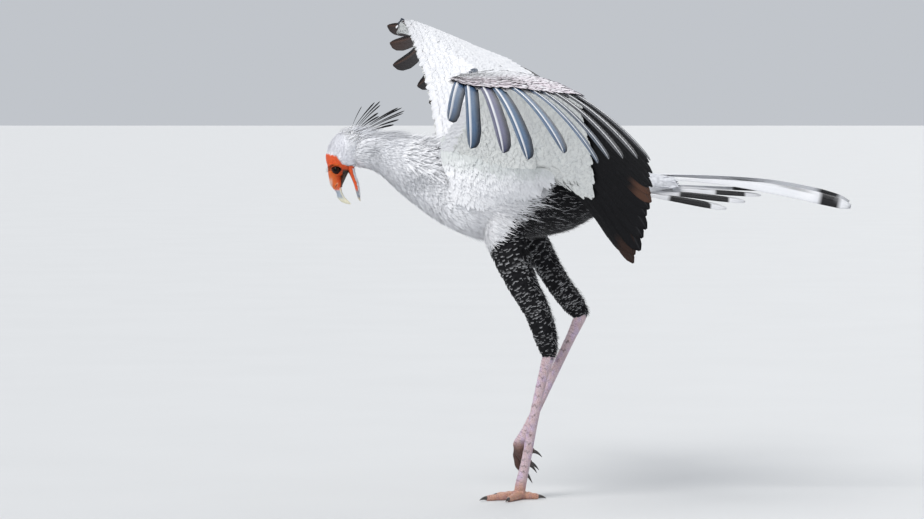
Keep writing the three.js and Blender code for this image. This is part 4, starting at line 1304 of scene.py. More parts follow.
class BIRD_OT_head_feathers(bpy.types.Operator):
    """Lays the small feathers of crown, cheek and throat"""

    bl_idname = "bird.head_feathers"
    bl_label = "Head feathers"

    def execute(self, context):
        """Small vanes swept back and up over the head's loft, with none on the bare face."""
        tone = colours()
        material = plume_material("crown_plume", 0.9, 6, 4, 2, 0.0002, 0.04, 0.2)
        generator = rng_for("head")
        held = sizes()
        bare = lambda u, v: 1 - mask_share(HEAD_FORM.point(u, v))
        u, v = even_roots(HEAD_FORM, held.head_roots, (0.01, 0.93), (0, 1), bare)
        roots = HEAD_FORM.point(u, v)
        feathered = (roots[:, 2] > 0.700) | (roots[:, 0] > -0.372)
        feathered &= roots[:, 2] > 0.695
        u, v, roots = u[feathered], v[feathered], roots[feathered]
        number = len(u)
        back = np.broadcast_to(np.array([1.0, 0.0, 0.35]), (number, 3))
        crown = step_between(-0.362, -0.385, roots[:, 0] + 0.25 * (roots[:, 2] - 0.75))
        nape = step_between(0.745, 0.775, roots[:, 2]) * step_between(-0.375, -0.35, roots[:, 0])
        rear = step_between(-0.379, -0.366, roots[:, 0])
        length = held.head_length * generator.uniform(0.8, 1.3, number) * (1 + 1.6 * nape + 0.9 * rear)
        depth = HEAD_COAT * MM
        rows, columns = 4, 3
        points = lay(HEAD_FORM, u, v, back, length, 0.0034 * generator.uniform(0.8, 1.2, number),
                     -depth, depth * generator.uniform(-0.3, 0.35, number) + 0.003 * nape + 0.002 * rear,
                     leaf, rows, columns,
                     turn=generator.normal(0, 0.15, number))
        base = mix(tone["white"], tone["grey"] * [1.0, 0.95, 1.0], (0.35 * crown)[:, None])
        ear = np.exp(-(((roots[:, 0] + 0.362) / 0.008) ** 2 + ((roots[:, 2] - 0.742) / 0.010) ** 2))
        base = mix(base, tone["grey"] * 0.8, (0.5 * ear)[:, None])
        tints = vane_tints(base, rows, columns, 0.08, generator)
        vane_piece("coat_head", [(points, tints, skin_places(u, v))], material, "grey_feather",
                   facing=[HEAD_FORM.normal(u, v)], share=0.8)
        self.chin(tone, material)
        return {"FINISHED"}


    def chin(self, tone, material):
        """Short white bristles down the outer side of the jaw."""
        generator = rng_for("chin")
        form = outward_form(BILL_LOWER)
        u, v = even_roots(form, 700, (0.02, 0.62), (0.10, 0.41))
        number = len(u)
        along_u, _ = form.slopes(u, v)
        rows, columns = 4, 3
        points = lay(form, u, v, along_u, 0.009 * generator.uniform(0.7, 1.3, number), 0.0018, -0.0005,
                     0.0015 * generator.uniform(0.2, 1.0, number), leaf, rows, columns,
                     turn=generator.normal(0, 0.12, number))
        tints = vane_tints(np.broadcast_to(tone["white"], (number, 3)), rows, columns, 0.08, generator)
        vane_piece("coat_chin", [(points, tints, skin_places(u, v))], material, "white_feather",
                   facing=[form.normal(u, v)])


class BIRD_OT_thigh_feathers(bpy.types.Operator):
    """Lays the black thigh feathers with thin white rims of painted glints"""

    bl_idname = "bird.thigh_feathers"
    bl_label = "Thigh feathers"

    def execute(self, context):
        """Round vanes flow down the thigh's loft. Nearly half of them carry a thin white rim, a painted
        glint of sunlight on the feather's edge. Loose tufts stand off the rear edge, some of them lightened
        grey by painted glints, and the heel is paler."""
        tone = colours()
        material = plume_material("thigh_plume", 0.8, 4, 8, 6, 0.0003, 0.04, 0.0, 0.2)
        held = sizes()
        for side, form in THIGH_FORMS.items():
            generator = rng_for(side + "thigh")
            u, v = even_roots(form, held.thigh_roots, (0.0, 0.97), (0, 1))
            number = len(u)
            along_u, _ = form.slopes(u, v)
            fine = keyed([[0, 1.15], [0.6, 1], [1, 0.5]], u)
            length = held.thigh_length * generator.uniform(0.85, 1.2, number) * fine
            width = 0.0130 * generator.uniform(0.6, 1.2, number) * fine
            depth = THIGH_COAT * MM
            rows, columns = 6, 5
            glint_rows = np.array([0, 0, 0, 0, 0.35, 1.0])
            outline = lambda t: np.interp(t, [0, 0.3, 0.7, 0.88, 0.96, 1], [0.6, 0.95, 1, 0.9, 0.7, 0.5])
            points = lay(form, u, v, along_u, length, width, -depth,
                         depth * generator.uniform(-0.4, 0.12, number), outline, rows, columns,
                         turn=generator.normal(0, 0.20, number))
            points = crowd_rows(points, np.array([0, 0.35, 0.70, 0.86, 0.93, 1]))
            roots = form.point(u, v)
            front = step_between(0.006, -0.006, white_line(roots)) if side == "left" else np.zeros(number)
            heel = step_between(0.84, 0.97, u) * step_between(0.35, 0.6, wavy(roots, 0.012, 51))
            base = mix(tone["black"], tone["white"] * 0.45, (heel * 0.8)[:, None])
            base = mix(base, tone["white"], front[:, None])
            tints = vane_tints(base, rows, columns, 0.1, generator)
            # The white rims are painted glints of sunlight on the edges of black feathers, gathered in
            # clumps.
            glint_clumps = step_between(0.25, 0.55, wavy(roots, 0.030, 53))
            glinted = (generator.uniform(0, 1, number) < 0.26 + 0.40 * glint_clumps)
            glinted = glinted * generator.uniform(0.2, 0.8, number)
            rim = glinted[:, None, None] * glint_rows[:, None] * np.ones(columns)
            tints = mix(tints, tone["white"] * 0.75, rim[..., None])
            batch = (points, tints, skin_places(u, v))

            tufts = even_roots(form, 1500, (0.22, 0.95), (0.08, 0.42))
            loose = len(tufts[0])
            along_u, _ = form.slopes(*tufts)
            points = lay(form, *tufts, along_u, 0.020 * generator.uniform(0.6, 1.2, loose), 0.0022,
                         -depth, depth * generator.uniform(0.2, 1.0, loose), strand, 5, 3, lift_power=1.4,
                         turn=generator.normal(0, 0.3, loose))
            # About a fifth of the loose tufts are lightened grey: painted glints.
            lightened = generator.uniform(0, 1, loose)[:, None] < 0.22
            base = np.where(lightened, tone["white"] * 0.35, tone["black"])
            tuft_batch = (points, vane_tints(base, 5, 3, 0.3, generator), skin_places(*tufts))
            vane_piece(f"coat_thigh_{side}", [batch, tuft_batch], material, "black_feather",
                       facing=[form.normal(u, v), form.normal(*tufts)], share=0.5)
        self.skirt(tone)
        return {"FINISHED"}

    def skirt(self, tone):
        """White breast plumes that hang down over the front of the near thigh's top."""
        form = THIGH_FORMS["left"]
        generator = rng_for("skirt")
        u, v = even_roots(form, 5200, (0.0, 0.42), (0, 1))
        kept = white_line(form.point(u, v)) < generator.uniform(-0.016, 0.004, len(u))
        u, v = u[kept], v[kept]
        number = len(u)
        along_u, _ = form.slopes(u, v)
        rows, columns = 5, 3
        heading = unit(along_u) * 0.6 + np.array([1.0, 0, 0])
        points = lay(form, u, v, heading, 0.040 * generator.uniform(0.6, 1.2, number), 0.0034, -0.003,
                     0.008 * generator.uniform(0.0, 1.0, number), strand, rows, columns, lift_power=1.3,
                     turn=generator.normal(0, 0.16, number), bend=generator.normal(0, 0.12, number))
        # The skirt's white is dimmed a little: painted shade, to match the shaded breast.
        base = np.broadcast_to(tone["white"] * 0.93, (number, 3))
        tints = vane_tints(base, rows, columns, 0.06, generator)
        material = plume_material("skirt_plume", 0.9, 6, 4, 3, 0.0002, 0.04, 0.25)
        vane_piece("thigh_skirt", [(points, tints, skin_places(u, v))], material, "white_feather",
                   facing=[form.normal(u, v)], share=0.8)


def white_line(points):
    """Metres behind the slanting edge where the white of the breast ends on the near thigh: the edge runs
    forward and down from the flank to the knee's front."""
    x, z = points[..., 0], points[..., 2]
    return x - mix(-0.072, 0.002, np.clip((z - 0.545) / 0.10, 0, 1.5))


def crowd_rows(points, shares):
    """Moves evenly spaced rows of vanes to new shares of the way along, on straight lines between rows."""
    rows = points.shape[1]
    place = shares * (rows - 1)
    low = np.minimum(place.astype(int), rows - 2)
    part = (place - low)[:, None, None]
    return mix(points[:, low], points[:, low + 1], part)


def toe_tube(path, radii, scutes, columns=20, rows=60):
    """A toe: rings round a curve through its joints, swollen into pads below and stepped into scutes
    along the top by a saw-tooth of the way along."""
    t = np.linspace(0, 1, rows)
    keys = np.column_stack([path, radii])
    line = through(keys[:, :3], t)
    radius = through(keys[:, 3:], t, even=True)[:, 0]
    ahead = unit(np.gradient(line, axis=0))
    helper = np.where(np.abs(ahead[:, 2:]) > 0.8, np.array([1.0, 0, 0]), UP)
    side = unit(np.cross(ahead, helper))
    lift = np.cross(side, ahead)
    around = np.arange(columns) * TURN / columns
    saw = (t * scutes) % 1
    above = np.maximum(np.sin(around), 0) ** 0.5
    below = np.maximum(-np.sin(around), 0)
    pads = 0.5 - 0.5 * np.cos(TURN * t * 4)
    swell = 0.97 + 0.12 * (1 - saw)[:, None] * above - 0.04 + 0.12 * pads[:, None] * below
    ring = side[:, None] * np.cos(around)[:, None] + lift[:, None] * np.sin(around)[:, None]
    return line[:, None] + ring * (radius[:, None] * swell)[..., None]


SHANK_SCUTES = 34
TOE_SCUTES = {"inner": 11, "middle": 15, "outer": 12, "hind": 7}
STANDING_TOES = {"inner": (-36, 58), "middle": (24, 78), "outer": (66, 60), "hind": (186, 40)}
HUNG_TOES = {
    "hind": [[-1, 28, 114], [10, 29, 106], [22, 30, 102], [30, 30, 100]],
    "inner": [[-1, 28, 114], [0, 17, 98], [10, 14, 82], [24, 15, 76]],
    "middle": [[-1, 28, 114], [-5, 30, 94], [-1, 30, 68], [14, 30, 52]],
    "outer": [[-1, 28, 114], [1, 43, 98], [8, 46, 80], [22, 46, 70]],
}


def standing_toe(name):
    """The joints and radii of a toe on the floor, in metres, and the direction it points."""
    heading, length = STANDING_TOES[name]
    turn = np.radians(heading)
    ahead = np.array([-np.cos(turn), -np.sin(turn), 0])
    t = np.linspace(0, 1, 7)
    swell = np.where(np.arange(7) % 2 == 0, 0.88, 1.02)
    radii = mix(11, 6.5, t) * swell
    line = np.array([0.0, 0, 12]) * [1, 1, 0] + ahead * t[:, None] * length
    line[:, 2] = mix(11, 6.5, t) - 1.6
    line[0, 2] += 3
    return line * MM, radii * MM * 0.97, ahead


class BIRD_OT_legs(bpy.types.Operator):
    """Builds the bare scaly legs, feet and claws"""

    bl_idname = "bird.legs"
    bl_label = "Legs"

    def execute(self, context):
        """Shank, ball and toes are melted into one skin per leg, whose front carries wide scutes."""
        tone = colours()
        material = bare_skin_material("leg_skin", 0.5, 0.0034, 0.0006)
        t = np.linspace(0, 1, 240)[:, None]
        angle = np.arange(36) * TURN / 36
        for side in SIDES:
            front = np.maximum(-np.sin(angle), 0) ** 0.6
            saw = (t * SHANK_SCUTES) % 1
            parts = [loft_point(SHANKS[side], t, angle, 0.5 * MM - 0.8 * MM * (1 - saw) * front)]
            lines = [(loft_point(SHANKS[side], t, angle).mean(1), SHANK_SCUTES)]
            centre = np.array([0, 0, 12.5] if side == "left" else [-1, 28, 114]) * MM
            polar = np.linspace(0.05, np.pi - 0.05, 16)[:, None]
            ball = np.stack([np.sin(polar) * np.cos(angle), np.sin(polar) * np.sin(angle),
                             np.cos(polar) * np.ones_like(angle)], -1)
            parts.append(centre + ball * 13.2 * MM)
            for name in TOES:
                if side == "left":
                    path, radii, _ = standing_toe(name)
                else:
                    path = np.array(HUNG_TOES[name]) * MM
                    radii = mix(11, 6.5, np.linspace(0, 1, 4)) * MM * 0.96
                scutes = TOE_SCUTES[name]
                parts.append(toe_tube(path, radii, scutes))
                lines.append((through(path, np.linspace(0, 1, 60)), scutes))
            mesh = settled_mesh(f"leg_{side}", parts, 0.0012, 1)
            points = mesh_points(mesh)
            points[:, 2] = np.maximum(points[:, 2], 0.0)
            mesh.vertices.foreach_set("co", points.astype(np.float32).reshape(-1))
            mesh.update()
            low = 0.05 if side == "left" else 0.13
            toes = step_between(low, low - 0.03, points[:, 2])[:, None]
            tints = mix(tone["leg"], tone["foot"], toes)
            lilac = step_between(0.45, 0.75, wavy(points, 0.02, 31))[:, None]
            tints = mix(tints, tints * [0.92, 0.94, 1.12], lilac)
            # The hanging foot's toes are darkened to near black: painted shadow, since they hang in shade.
            if side == "right":
                tints = mix(tints, tints * [0.10, 0.07, 0.07], toes)
            crease, dirt = self.scute_creases(points, mesh_normals(mesh), lines)
            tints = mix(tints, tints * 0.32, crease[:, None])
            tints = mix(tints, tone["claw"] * 2, dirt[:, None])
            piece = finished_object(mesh, f"leg_{side}", material, tints)
            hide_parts(f"shank_{side}", f"foot_{side}")
        self.claws(tone)
        return {"FINISHED"}

    def scute_creases(self, points, normals, lines):
        """Where the dark creases between scutes run: each place looks up its nearest limb line and how far
        along it lies, and a crease crosses the outward half wherever that passes a whole scute. Small dark
        flecks sit at the two ends of every crease."""
        every = np.concatenate([line for line, _ in lines])
        scute = np.concatenate([np.linspace(0, count, len(line)) for line, count in lines])
        limb = np.concatenate([np.full(len(line), i) for i, (line, _) in enumerate(lines)])

        tree = KDTree(len(every))
        for i, place in enumerate(every):
            tree.insert(place, i)
        tree.balance()
        nearest = np.array([tree.find(place)[1] for place in points])
        ahead = np.concatenate([unit(np.gradient(line, axis=0)) for line, _ in lines])[nearest]
        past = np.sum((points - every[nearest]) * ahead, -1)
        lengths = [np.linalg.norm(np.diff(line, axis=0), axis=1).sum() for line, _ in lines]
        pitch = np.concatenate([np.full(len(line), length / count)
                                for length, (line, count) in zip(lengths, lines)])[nearest]
        place = scute[nearest] + past / pitch
        on_shank = limb[nearest] == 0
        outer = np.where(on_shank, -normals[:, 0], normals[:, 2] * 0.8 - normals[:, 0] * 0.4)
        wobble = 0.12 * np.sin(points @ np.array([900.0, 700.0, 0.0]))
        gap = np.abs((place + wobble) % 1 - 0.5)
        line_share = step_between(0.40, 0.47, gap)
        crease = line_share * step_between(-0.25, 0.25, outer) * 0.75
        side = np.exp(-((outer / 0.28) ** 2))
        fleck = step_between(0.30, 0.45, gap) * side * on_shank
        fleck = fleck * step_between(0.45, 0.62, wavy(points, 0.012, 71))
        return crease, fleck * 0.7

    def claws(self, tone):
        """Claws: round rings along a line that starts on the toe's end and bends down by a power."""
        material = horn_material("claw_horn", 0.3)
        t = np.linspace(0, 1, 26)[:, None]
        around = np.arange(20) * TURN / 20
        for side in SIDES:
            tubes = []
            for name in TOES:
                if side == "left":
                    path, _, ahead = standing_toe(name)
                    droop = np.array([0, 0, -4.5])
                    start = path[-1] / MM + [0, 0, 0.8]
                else:
                    path = np.array(HUNG_TOES[name], float)
                    ahead = unit(path[-1] - path[-2])
                    droop = np.array([2, 0, -9])
                    start = path[-1]
                start = start - ahead * 2.0
                line = start + ahead * 21.5 * t * (1 - 0.15 * t) + droop * t**2.4
                direction = unit(np.gradient(line, axis=0))
                helper = np.where(np.abs(direction[:, 2:]) > 0.8, np.array([1.0, 0, 0]), UP)
                across = unit(np.cross(direction, helper))
                lift = np.cross(across, direction)
                radius = mix(4.7, 0.45, t**1.25)
                ring = (across[:, None] * np.cos(around)[:, None] * 0.82
                        + lift[:, None] * np.sin(around)[:, None])
                tubes.append((line[:, None] + ring * radius[..., None]) * MM)
            points = np.stack(tubes)
            points[..., 2] = np.maximum(points[..., 2], 0.0)
            along = np.broadcast_to(t[None, :, :, None], (*points.shape[:-1], 1))
            tint = mix(tone["claw"] * 2.2, tone["claw"], step_between(0.0, 0.5, along))
            piece = tube_piece(f"claws_{side}", points, material, "claw", tint)
            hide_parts(*(f"claw_{side}_{name}" for name in TOES))


def flight_feathers(line, face, lead_half, trail_half, shaft, camber, thickness):
    """Closed flight feathers. Round each ring the top runs from the leading edge over the raised shaft to
    the trailing edge, and the bottom back again, a thickness below. line and face are (feather, row, xyz)
    and the halves, shaft radius and camber are (feather, row). Returns points and the place across."""
    ahead = unit(np.gradient(line, axis=1))
    side = unit(np.cross(face, ahead))
    up = np.cross(ahead, side)
    shares = np.array([1, 0.72, 0.42, 0.18])
    lead = [-s * (lead_half - shaft) - shaft for s in shares]
    trail = [s * (trail_half - shaft) + shaft for s in shares[::-1]]
    offsets = np.stack([*lead, -shaft, 0 * shaft, shaft, *trail], -1)
    half = np.where(offsets < 0, lead_half[..., None], trail_half[..., None])
    arch = camber[..., None] * (1 - (offsets / np.maximum(half, 1e-6)) ** 2)
    ridge = np.array([0, 0, 0, 0, 0.35, 1, 0.35, 0, 0, 0, 0]) * shaft[..., None]
    edge_thin = np.where(np.isin(np.arange(11), [0, 10]), 0.4, 1.0)
    top = arch + ridge + thickness / 2 * edge_thin
    bottom = arch - ridge * 0.8 - thickness / 2 * edge_thin
    heights = np.concatenate([top, bottom[..., ::-1]], -1)
    offsets = np.concatenate([offsets, offsets[..., ::-1]], -1)
    points = (line[:, :, None] + side[:, :, None] * offsets[..., None] + up[:, :, None] * heights[..., None])
    steps = np.array([0, 0.14, 0.29, 0.41, 0.47, 0.5, 0.53, 0.59, 0.71, 0.86, 1])
    return points, np.concatenate([steps, steps[::-1]])


def wing_feathers(side, numbers, start, end_scale, lead_half, trail_half, shaft, rows=44, tilt=0.12,
                  arch=0.05):
    """The flight feathers of a wing with these numbers: each follows the wing's sheet at its own number
    from start to its tip, a little tilted, so that neighbours overlap like tiles."""
    numbers = np.asarray(numbers, float)
    t = np.linspace(0, 1, rows)
    v = start[:, None] + (end_scale[:, None] - start[:, None]) * t
    k = np.broadcast_to(numbers[:, None], v.shape)
    middle = wing_middle(side)
    line = middle.point(k, v)
    ahead = unit(np.gradient(line, axis=1))
    inner = unit(middle.point(k + 0.1, v) - middle.point(k - 0.1, v))
    face = unit(np.cross(ahead, inner))
    face *= np.sign(np.sum(face * middle.normal(k, v), -1, keepdims=True))
    inward = unit(np.cross(face, ahead))
    turned_in = np.sign(np.sum(inward * inner, -1, keepdims=True))
    face = unit(face + inward * turned_in * tilt)
    # The ring runs from the leading edge, so the side must point to the next inner feather.
    lead_first = turned_in[:, 0, 0] < 0
    outline = np.interp(t, [0, 0.06, 0.8, 0.92, 0.975, 1], [0.3, 0.85, 1, 0.82, 0.5, 0.12])
    lead_row, trail_row = lead_half[:, None] * outline, trail_half[:, None] * outline
    swapped = lead_first[:, None]
    first, second = np.where(swapped, trail_row, lead_row), np.where(swapped, lead_row, trail_row)
    shaft_row = shaft[:, None] * (1 - 0.75 * t)
    shaft_row = np.minimum(shaft_row, 0.6 * np.minimum(first, second))
    camber = arch * (lead_row + trail_row)
    points, across = flight_feathers(line, face, first, second, shaft_row, camber, 0.0009)
    across = np.where(swapped, 1 - across, across)
    return points, across, t


def band(across, centre, half, soft=0.03):
    """1 within half of centre on the way across, with soft edges."""
    return step_between(half + soft, half, np.abs(across - centre))


class BIRD_OT_primaries(bpy.types.Operator):
    """Builds the ten outer flight feathers of each wing"""

    bl_idname = "bird.primaries"
    bl_label = "Primaries"

    def execute(self, context):
        """Black feathers on the left wing, painted slate blue as a sky reflection and with white shafts
        painted as glints, and dark brown and black ones on the right.
        """
        tone = colours()
        material = plume_material("primary_plume", 0.5, 0, 260, 120, 0.0004, 0.08, 0.0, 0.3)
        numbers = np.arange(PRIMARIES)
        half = keyed([[0, 17], [4, 19], [9, 21]], numbers) * MM
        start = keyed(COVERT_EDGE, numbers) - 0.06
        for side in SIDES:
            points, across, t = wing_feathers(side, numbers, start, np.ones(PRIMARIES), half * 0.38,
                                              half * 1.5, np.full(PRIMARIES, 0.0015), rows=34, arch=0.07)
            a = np.broadcast_to(across[:, None], points.shape[:-1])
            along = np.broadcast_to(t[None, :, None], a.shape)
            dark = tone["black"] * 1.5
            # On the left wing, the slate blue, its plum and lighter patches and the pale leading webs are
            # painted sky reflection on black feathers. The darker inner webs, tips and inner feathers keep
            # their own black.
            if side == "left":
                order = numbers[:, None, None] * np.ones_like(a)
                plum = np.isin(numbers, [2])[:, None, None, None] * np.array([0.05, -0.01, -0.03])
                sky_sheen_tint = tone["slate"] + plum
                body = mix(sky_sheen_tint, sky_sheen_tint * [1.35, 1.25, 1.05], wavy(points, 0.08, 12)[..., None])
                inner_dark = step_between(0.66, 0.92, a) * 0.9
                body = mix(body, dark, inner_dark[..., None])
                body = mix(body, dark, (step_between(0.75, 1.0, along) * 0.4)[..., None])
                body = mix(body, dark, (step_between(4.4, 7.0, order) * 0.93)[..., None])
                pale_lead = step_between(0.30, 0.12, a) * mix(0.14, 0.12, step_between(3, 7, order))
                body = mix(body, tone["white"], pale_lead[..., None])
                # The white shafts are painted glints of sunlight.
                shaft = tone["white"]
            else:
                worn = np.array([0.35, 0.75, 0.2, 0.2, 0.1, 0.1, 0.1, 0.1, 0.1, 0.1])[:, None, None]
                brown = (worn * wavy(points, 0.2, 7) * step_between(0.3, 0.9, along))[..., None]
                body = mix(dark, tone["brown"], brown)
                shaft = tone["brown"]
            tint = mix(body, shaft, band(a, 0.5, 0.03, 0.02)[..., None])
            piece = tube_piece(f"primaries_{side}", points, material,
                               "slate_feather" if side == "left" else "black_feather", tint, across[0])
            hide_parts(*(f"wing_{side}_primary_{n + 1:02d}" for n in range(PRIMARIES)))
        return {"FINISHED"}


class BIRD_OT_secondaries(bpy.types.Operator):
    """Builds the black inner flight feathers of each wing"""

    bl_idname = "bird.secondaries"
    bl_label = "Secondaries"

    def execute(self, context):
        """Broad overlapping black feathers with round ends, some of them worn brown."""
        tone = colours()
        material = plume_material("secondary_plume", 0.55, 0, 200, 120, 0.0004, 0.05, 0.0, 0.16)
        numbers = np.concatenate([np.arange(PRIMARIES, 24), np.arange(24, 30, 0.75)])
        count = len(numbers)
        half = keyed([[10, 24], [16, 27], [24, 30], [30, 26]], numbers) * MM
        start = keyed(COVERT_EDGE, numbers) - 0.12
        generator = rng_for("secondaries")
        for side in SIDES:
            points, across, t = wing_feathers(side, numbers, start, generator.uniform(0.95, 1.0, count),
                                              half * 0.75, half * 1.15, np.full(count, 0.0014), rows=32,
                                              tilt=0.1)
            a = np.broadcast_to(across[:, None], points.shape[:-1])
            along = np.broadcast_to(t[None, :, None], a.shape)
            worn = np.where(np.isin(numbers, [15, 16]), 1.0, 0.0)
            worn = np.where(np.isin(numbers, [22, 23]), 0.35, worn)[:, None, None]
            brown = worn * step_between(0.80, 0.92, along)
            body = mix(np.broadcast_to(tone["black"], (*a.shape, 3)), tone["brown"] * 1.6, brown[..., None])
            pale_edge = step_between(0.10, 0.0, a) * step_between(14, 10, numbers)[:, None, None] * 0.35
            body = mix(body, tone["white"], pale_edge[..., None])
            # The faintly paler line down each shaft is a painted glint.
            shaft = mix(tone["black"] * 2, tone["white"], 0.05)
            tint = mix(body, shaft, (band(a, 0.5, 0.02, 0.02) * 0.8)[..., None])
            piece = tube_piece(f"secondaries_{side}", points, material, "black_feather", tint, across[0])
            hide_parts(f"wing_{side}_secondaries", f"wing_{side}_tertials")
        return {"FINISHED"}


class BIRD_OT_coverts(bpy.types.Operator):
    """Lays the white coverts above and below both wings"""

    bl_idname = "bird.coverts"
    bl_label = "Wing coverts"

    def execute(self, context):
        """Rows of round vanes from the leading edge back, each row longer than the one before."""
        tone = colours()
        material = plume_material("covert_plume", 0.85, 4, 30, 20, 0.0003, 0.05, 0.2)
        for side in SIDES:
            for face, word in ((1, "above"), (-1, "below")):
                name = f"coverts_{word}_{side}"
                generator = rng_for(name)
                form, middle = wing_face(side, face), wing_middle(side)
                batches, facing = [], []
                for i, place in enumerate(np.linspace(0.0, 0.93, COVERT_ROWS)):
                    count = int(mix(170, 96, place))
                    k = mix(HAND_END[side], INNERMOST + 0.2, (np.arange(count) + 0.5 * (i % 2)) / count)
                    k = k + generator.normal(0, 0.06, count)
                    ahead, behind = wing_lengths(side, k)
                    edge = ahead + keyed(COVERTED[side], k) * behind
                    uneven = (0.011 if side == "left" else 0.006) * step_between(1.0, 0.8, place) + 0.003
                    reach = edge * (place + generator.normal(0, uneven, count))
                    _, along = form.slopes(k, reach)
                    length = keyed([[0, 0.016], [0.5, 0.030], [0.8, 0.046], [1, 0.056]], place)
                    length = length * generator.uniform(0.85, 1.1, count)
                    length = length * keyed([[0, 0.7], [9, 0.9], [16, 1], [30, 1.1]], k)
                    width = keyed([[0, 0.010], [0.5, 0.020], [1, 0.032]], place)
                    width = width * generator.uniform(0.85, 1.1, count)
                    width = width * keyed([[0, 0.6], [9, 0.75], [16, 1]], k)
                    rows, columns = 6, 4
                    flat = step_between(10.5, 8, k) * step_between(0.75, 0.45, place)
                    raised = mix(0.7 if face > 0 else 0.0, 1, step_between(7, 9.5, k))
                    sunk = -0.0025 + 0.0016 * flat
                    lift = 0.0015 - 0.0012 * flat + 0.0060 * place**2 * raised
                    points = lay(form, k, reach, along, length, width, sunk, lift,
                                 round_vane, rows, columns, lift_power=0.7, hollow=0.12,
                                 turn=generator.normal(0, 0.06, count))
                    points = crowd_rows(points, np.array([0, 0.3, 0.62, 0.84, 0.95, 1]))
                    base = covert_tint(tone, k, np.full(count, place), side, face, generator)
                    tints = vane_tints(base, rows, columns, 0.03, generator)
                    # Each vane darkens towards its root and its tip: painted shade where the rows overlap.
                    rim = np.interp(np.linspace(0, 1, rows), [0, 0.5, 0.8, 1], [0.88, 1, 1, 0.86])
                    tints = tints * rim[:, None, None]
                    places = np.stack([0.02 + 0.96 * np.clip((k + 0.5) / 31, 0, 1),
                                       0.02 + 0.96 * np.clip(reach / 0.5, 0, 1)], -1)
                    batches.append((points, tints, places))
                    facing.append(face * middle.normal(k, wing_place(side, k, np.maximum(reach, 0))))
                vane_piece(name, batches, material, "white_feather", facing=facing, share=0.75)
        self.armpits(tone)
        return {"FINISHED"}

    def armpits(self, tone):
        """The plumes where each wing meets the trunk: those under the wing run down over a bridge to the
        flank, those above lie back over the shoulder, and short tufts make the near web's edge ragged."""
        material = plume_material("axillary_plume", 0.9, 6, 4, 3, 0.0002, 0.04, 0.25)
        for side, sign in SIDES.items():
            batches, facing = [], []
            bridge = flank_bridge(side, sign)
            generator = rng_for("bridge" + side)
            span, top = (0.235, -0.25) if side == "left" else (0.175, 0.0)
            reach, down = generator.uniform(-0.01, span, 2000), generator.uniform(top, 0.85, 2000)
            kept = down < 0.85 - 0.95 * step_between(0.12, 0.235, reach)
            reach, down = reach[kept], down[kept]
            along, fall = bridge.slopes(reach, down)
            heading = unit(fall) + unit(along) * generator.uniform(0.1, 0.8, (len(reach), 1))
            # Under the near wing, the top of the bridge is dimmed and greened: painted shade matching the
            # wing's shaded underside.
            painted_shade_tint = np.array([0.76, 0.79, 0.76]) if side == "left" else 0.98
            shade = mix(tone["white"] * painted_shade_tint, tone["white"] * 0.98,
                        step_between(-0.25, 0.30, down)[:, None])
            self.plume_batch(batches, facing, bridge, reach, down, heading, (0.030, 0.055), 0.014,
                             (-0.001, 0.003), shade, generator)

            over = wing_face(side, 1)
            k, reach = generator.uniform(26.0, 31.0, 620), generator.uniform(0.0, 0.19, 620)
            inner, along = over.slopes(k, reach)
            heading = unit(along) * 0.8 + unit(inner) * generator.uniform(0.2, 0.9, (620, 1))
            self.plume_batch(batches, facing, over, k, reach, heading, (0.035, 0.065), 0.0085,
                             (0.0, 0.007), tone["white"] * 0.98, generator)
            if side == "left":
                for face in (1, -1):
                    form = wing_face(side, face)
                    k, reach = generator.uniform(15.0, 30.5, 520), generator.uniform(0.0, 0.022, 520)
                    inner, along = form.slopes(k, reach)
                    heading = unit(inner) * generator.uniform(0.5, 1.0, (520, 1)) - unit(along) * 0.75
                    self.plume_batch(batches, facing, form, k, reach, heading, (0.012, 0.026), 0.0055,
                                     (0.0, 0.006), tone["white"], generator)
            vane_piece(f"axillaries_{side}", batches, material, "white_feather", facing=facing, share=0.8)

    def plume_batch(self, batches, facing, form, u, v, heading, lengths, width, heights, tint, generator):
        """Adds one batch of soft vanes with lengths and tip heights between the given ends."""
        number = len(u)
        rows, columns = 6, 3
        points = lay(form, u, v, heading, generator.uniform(*lengths, number), width, -0.004,
                     generator.uniform(*heights, number), leaf, rows, columns,
                     turn=generator.normal(0, 0.15, number))
        tints = vane_tints(np.broadcast_to(tint, (number, 3)), rows, columns, 0.05, generator)
        spread = [0.02 + 0.96 * (x - x.min()) / (np.ptp(x) + 1e-9) for x in (u, v)]
        batches.append((points, tints, np.stack(spread, -1)))
        facing.append(form.normal(u, v))


def flank_bridge(side, sign):
    """The surface from the wing's underside down to the flank, as a form in (metres behind the leading
    edge, place on the way down). Each line runs straight between the two and swells a little outward."""
    under = wing_face(side, -1)
    around = 0.25 - 0.22 * sign
    place = np.linspace(0.1, 0.66, 60)
    flank_x = BODY_FORM.point(place, around)[:, 0]

    def bridge_point(reach, down):
        reach, down = np.broadcast_arrays(reach, down)
        feather = keyed([[0, 27.5], [0.08, 26], [0.14, 24], [0.19, 22.5], [0.23, 22]], reach)
        start = under.point(feather if side == "left" else np.full(reach.shape, 27.0), reach)
        u = np.interp(start[..., 0] + 0.015, flank_x[::-1], place[::-1])
        end = BODY_FORM.point(u, around) + BODY_FORM.normal(u, around) * 0.002
        swell = np.array([0, sign, -0.3]) * 0.006 * np.sin(np.pi * np.clip(down, 0, 1))[..., None]
        return mix(start, end, down[..., None]) + swell

    bridge = Form(bridge_point, steps=(0.004, 0.02))
    middle = bridge.normal(np.array([0.1]), np.array([0.5]))[0]
    bridge.outward = float(np.sign(middle[1] * sign))
    return bridge


COVERT_ROWS = 22


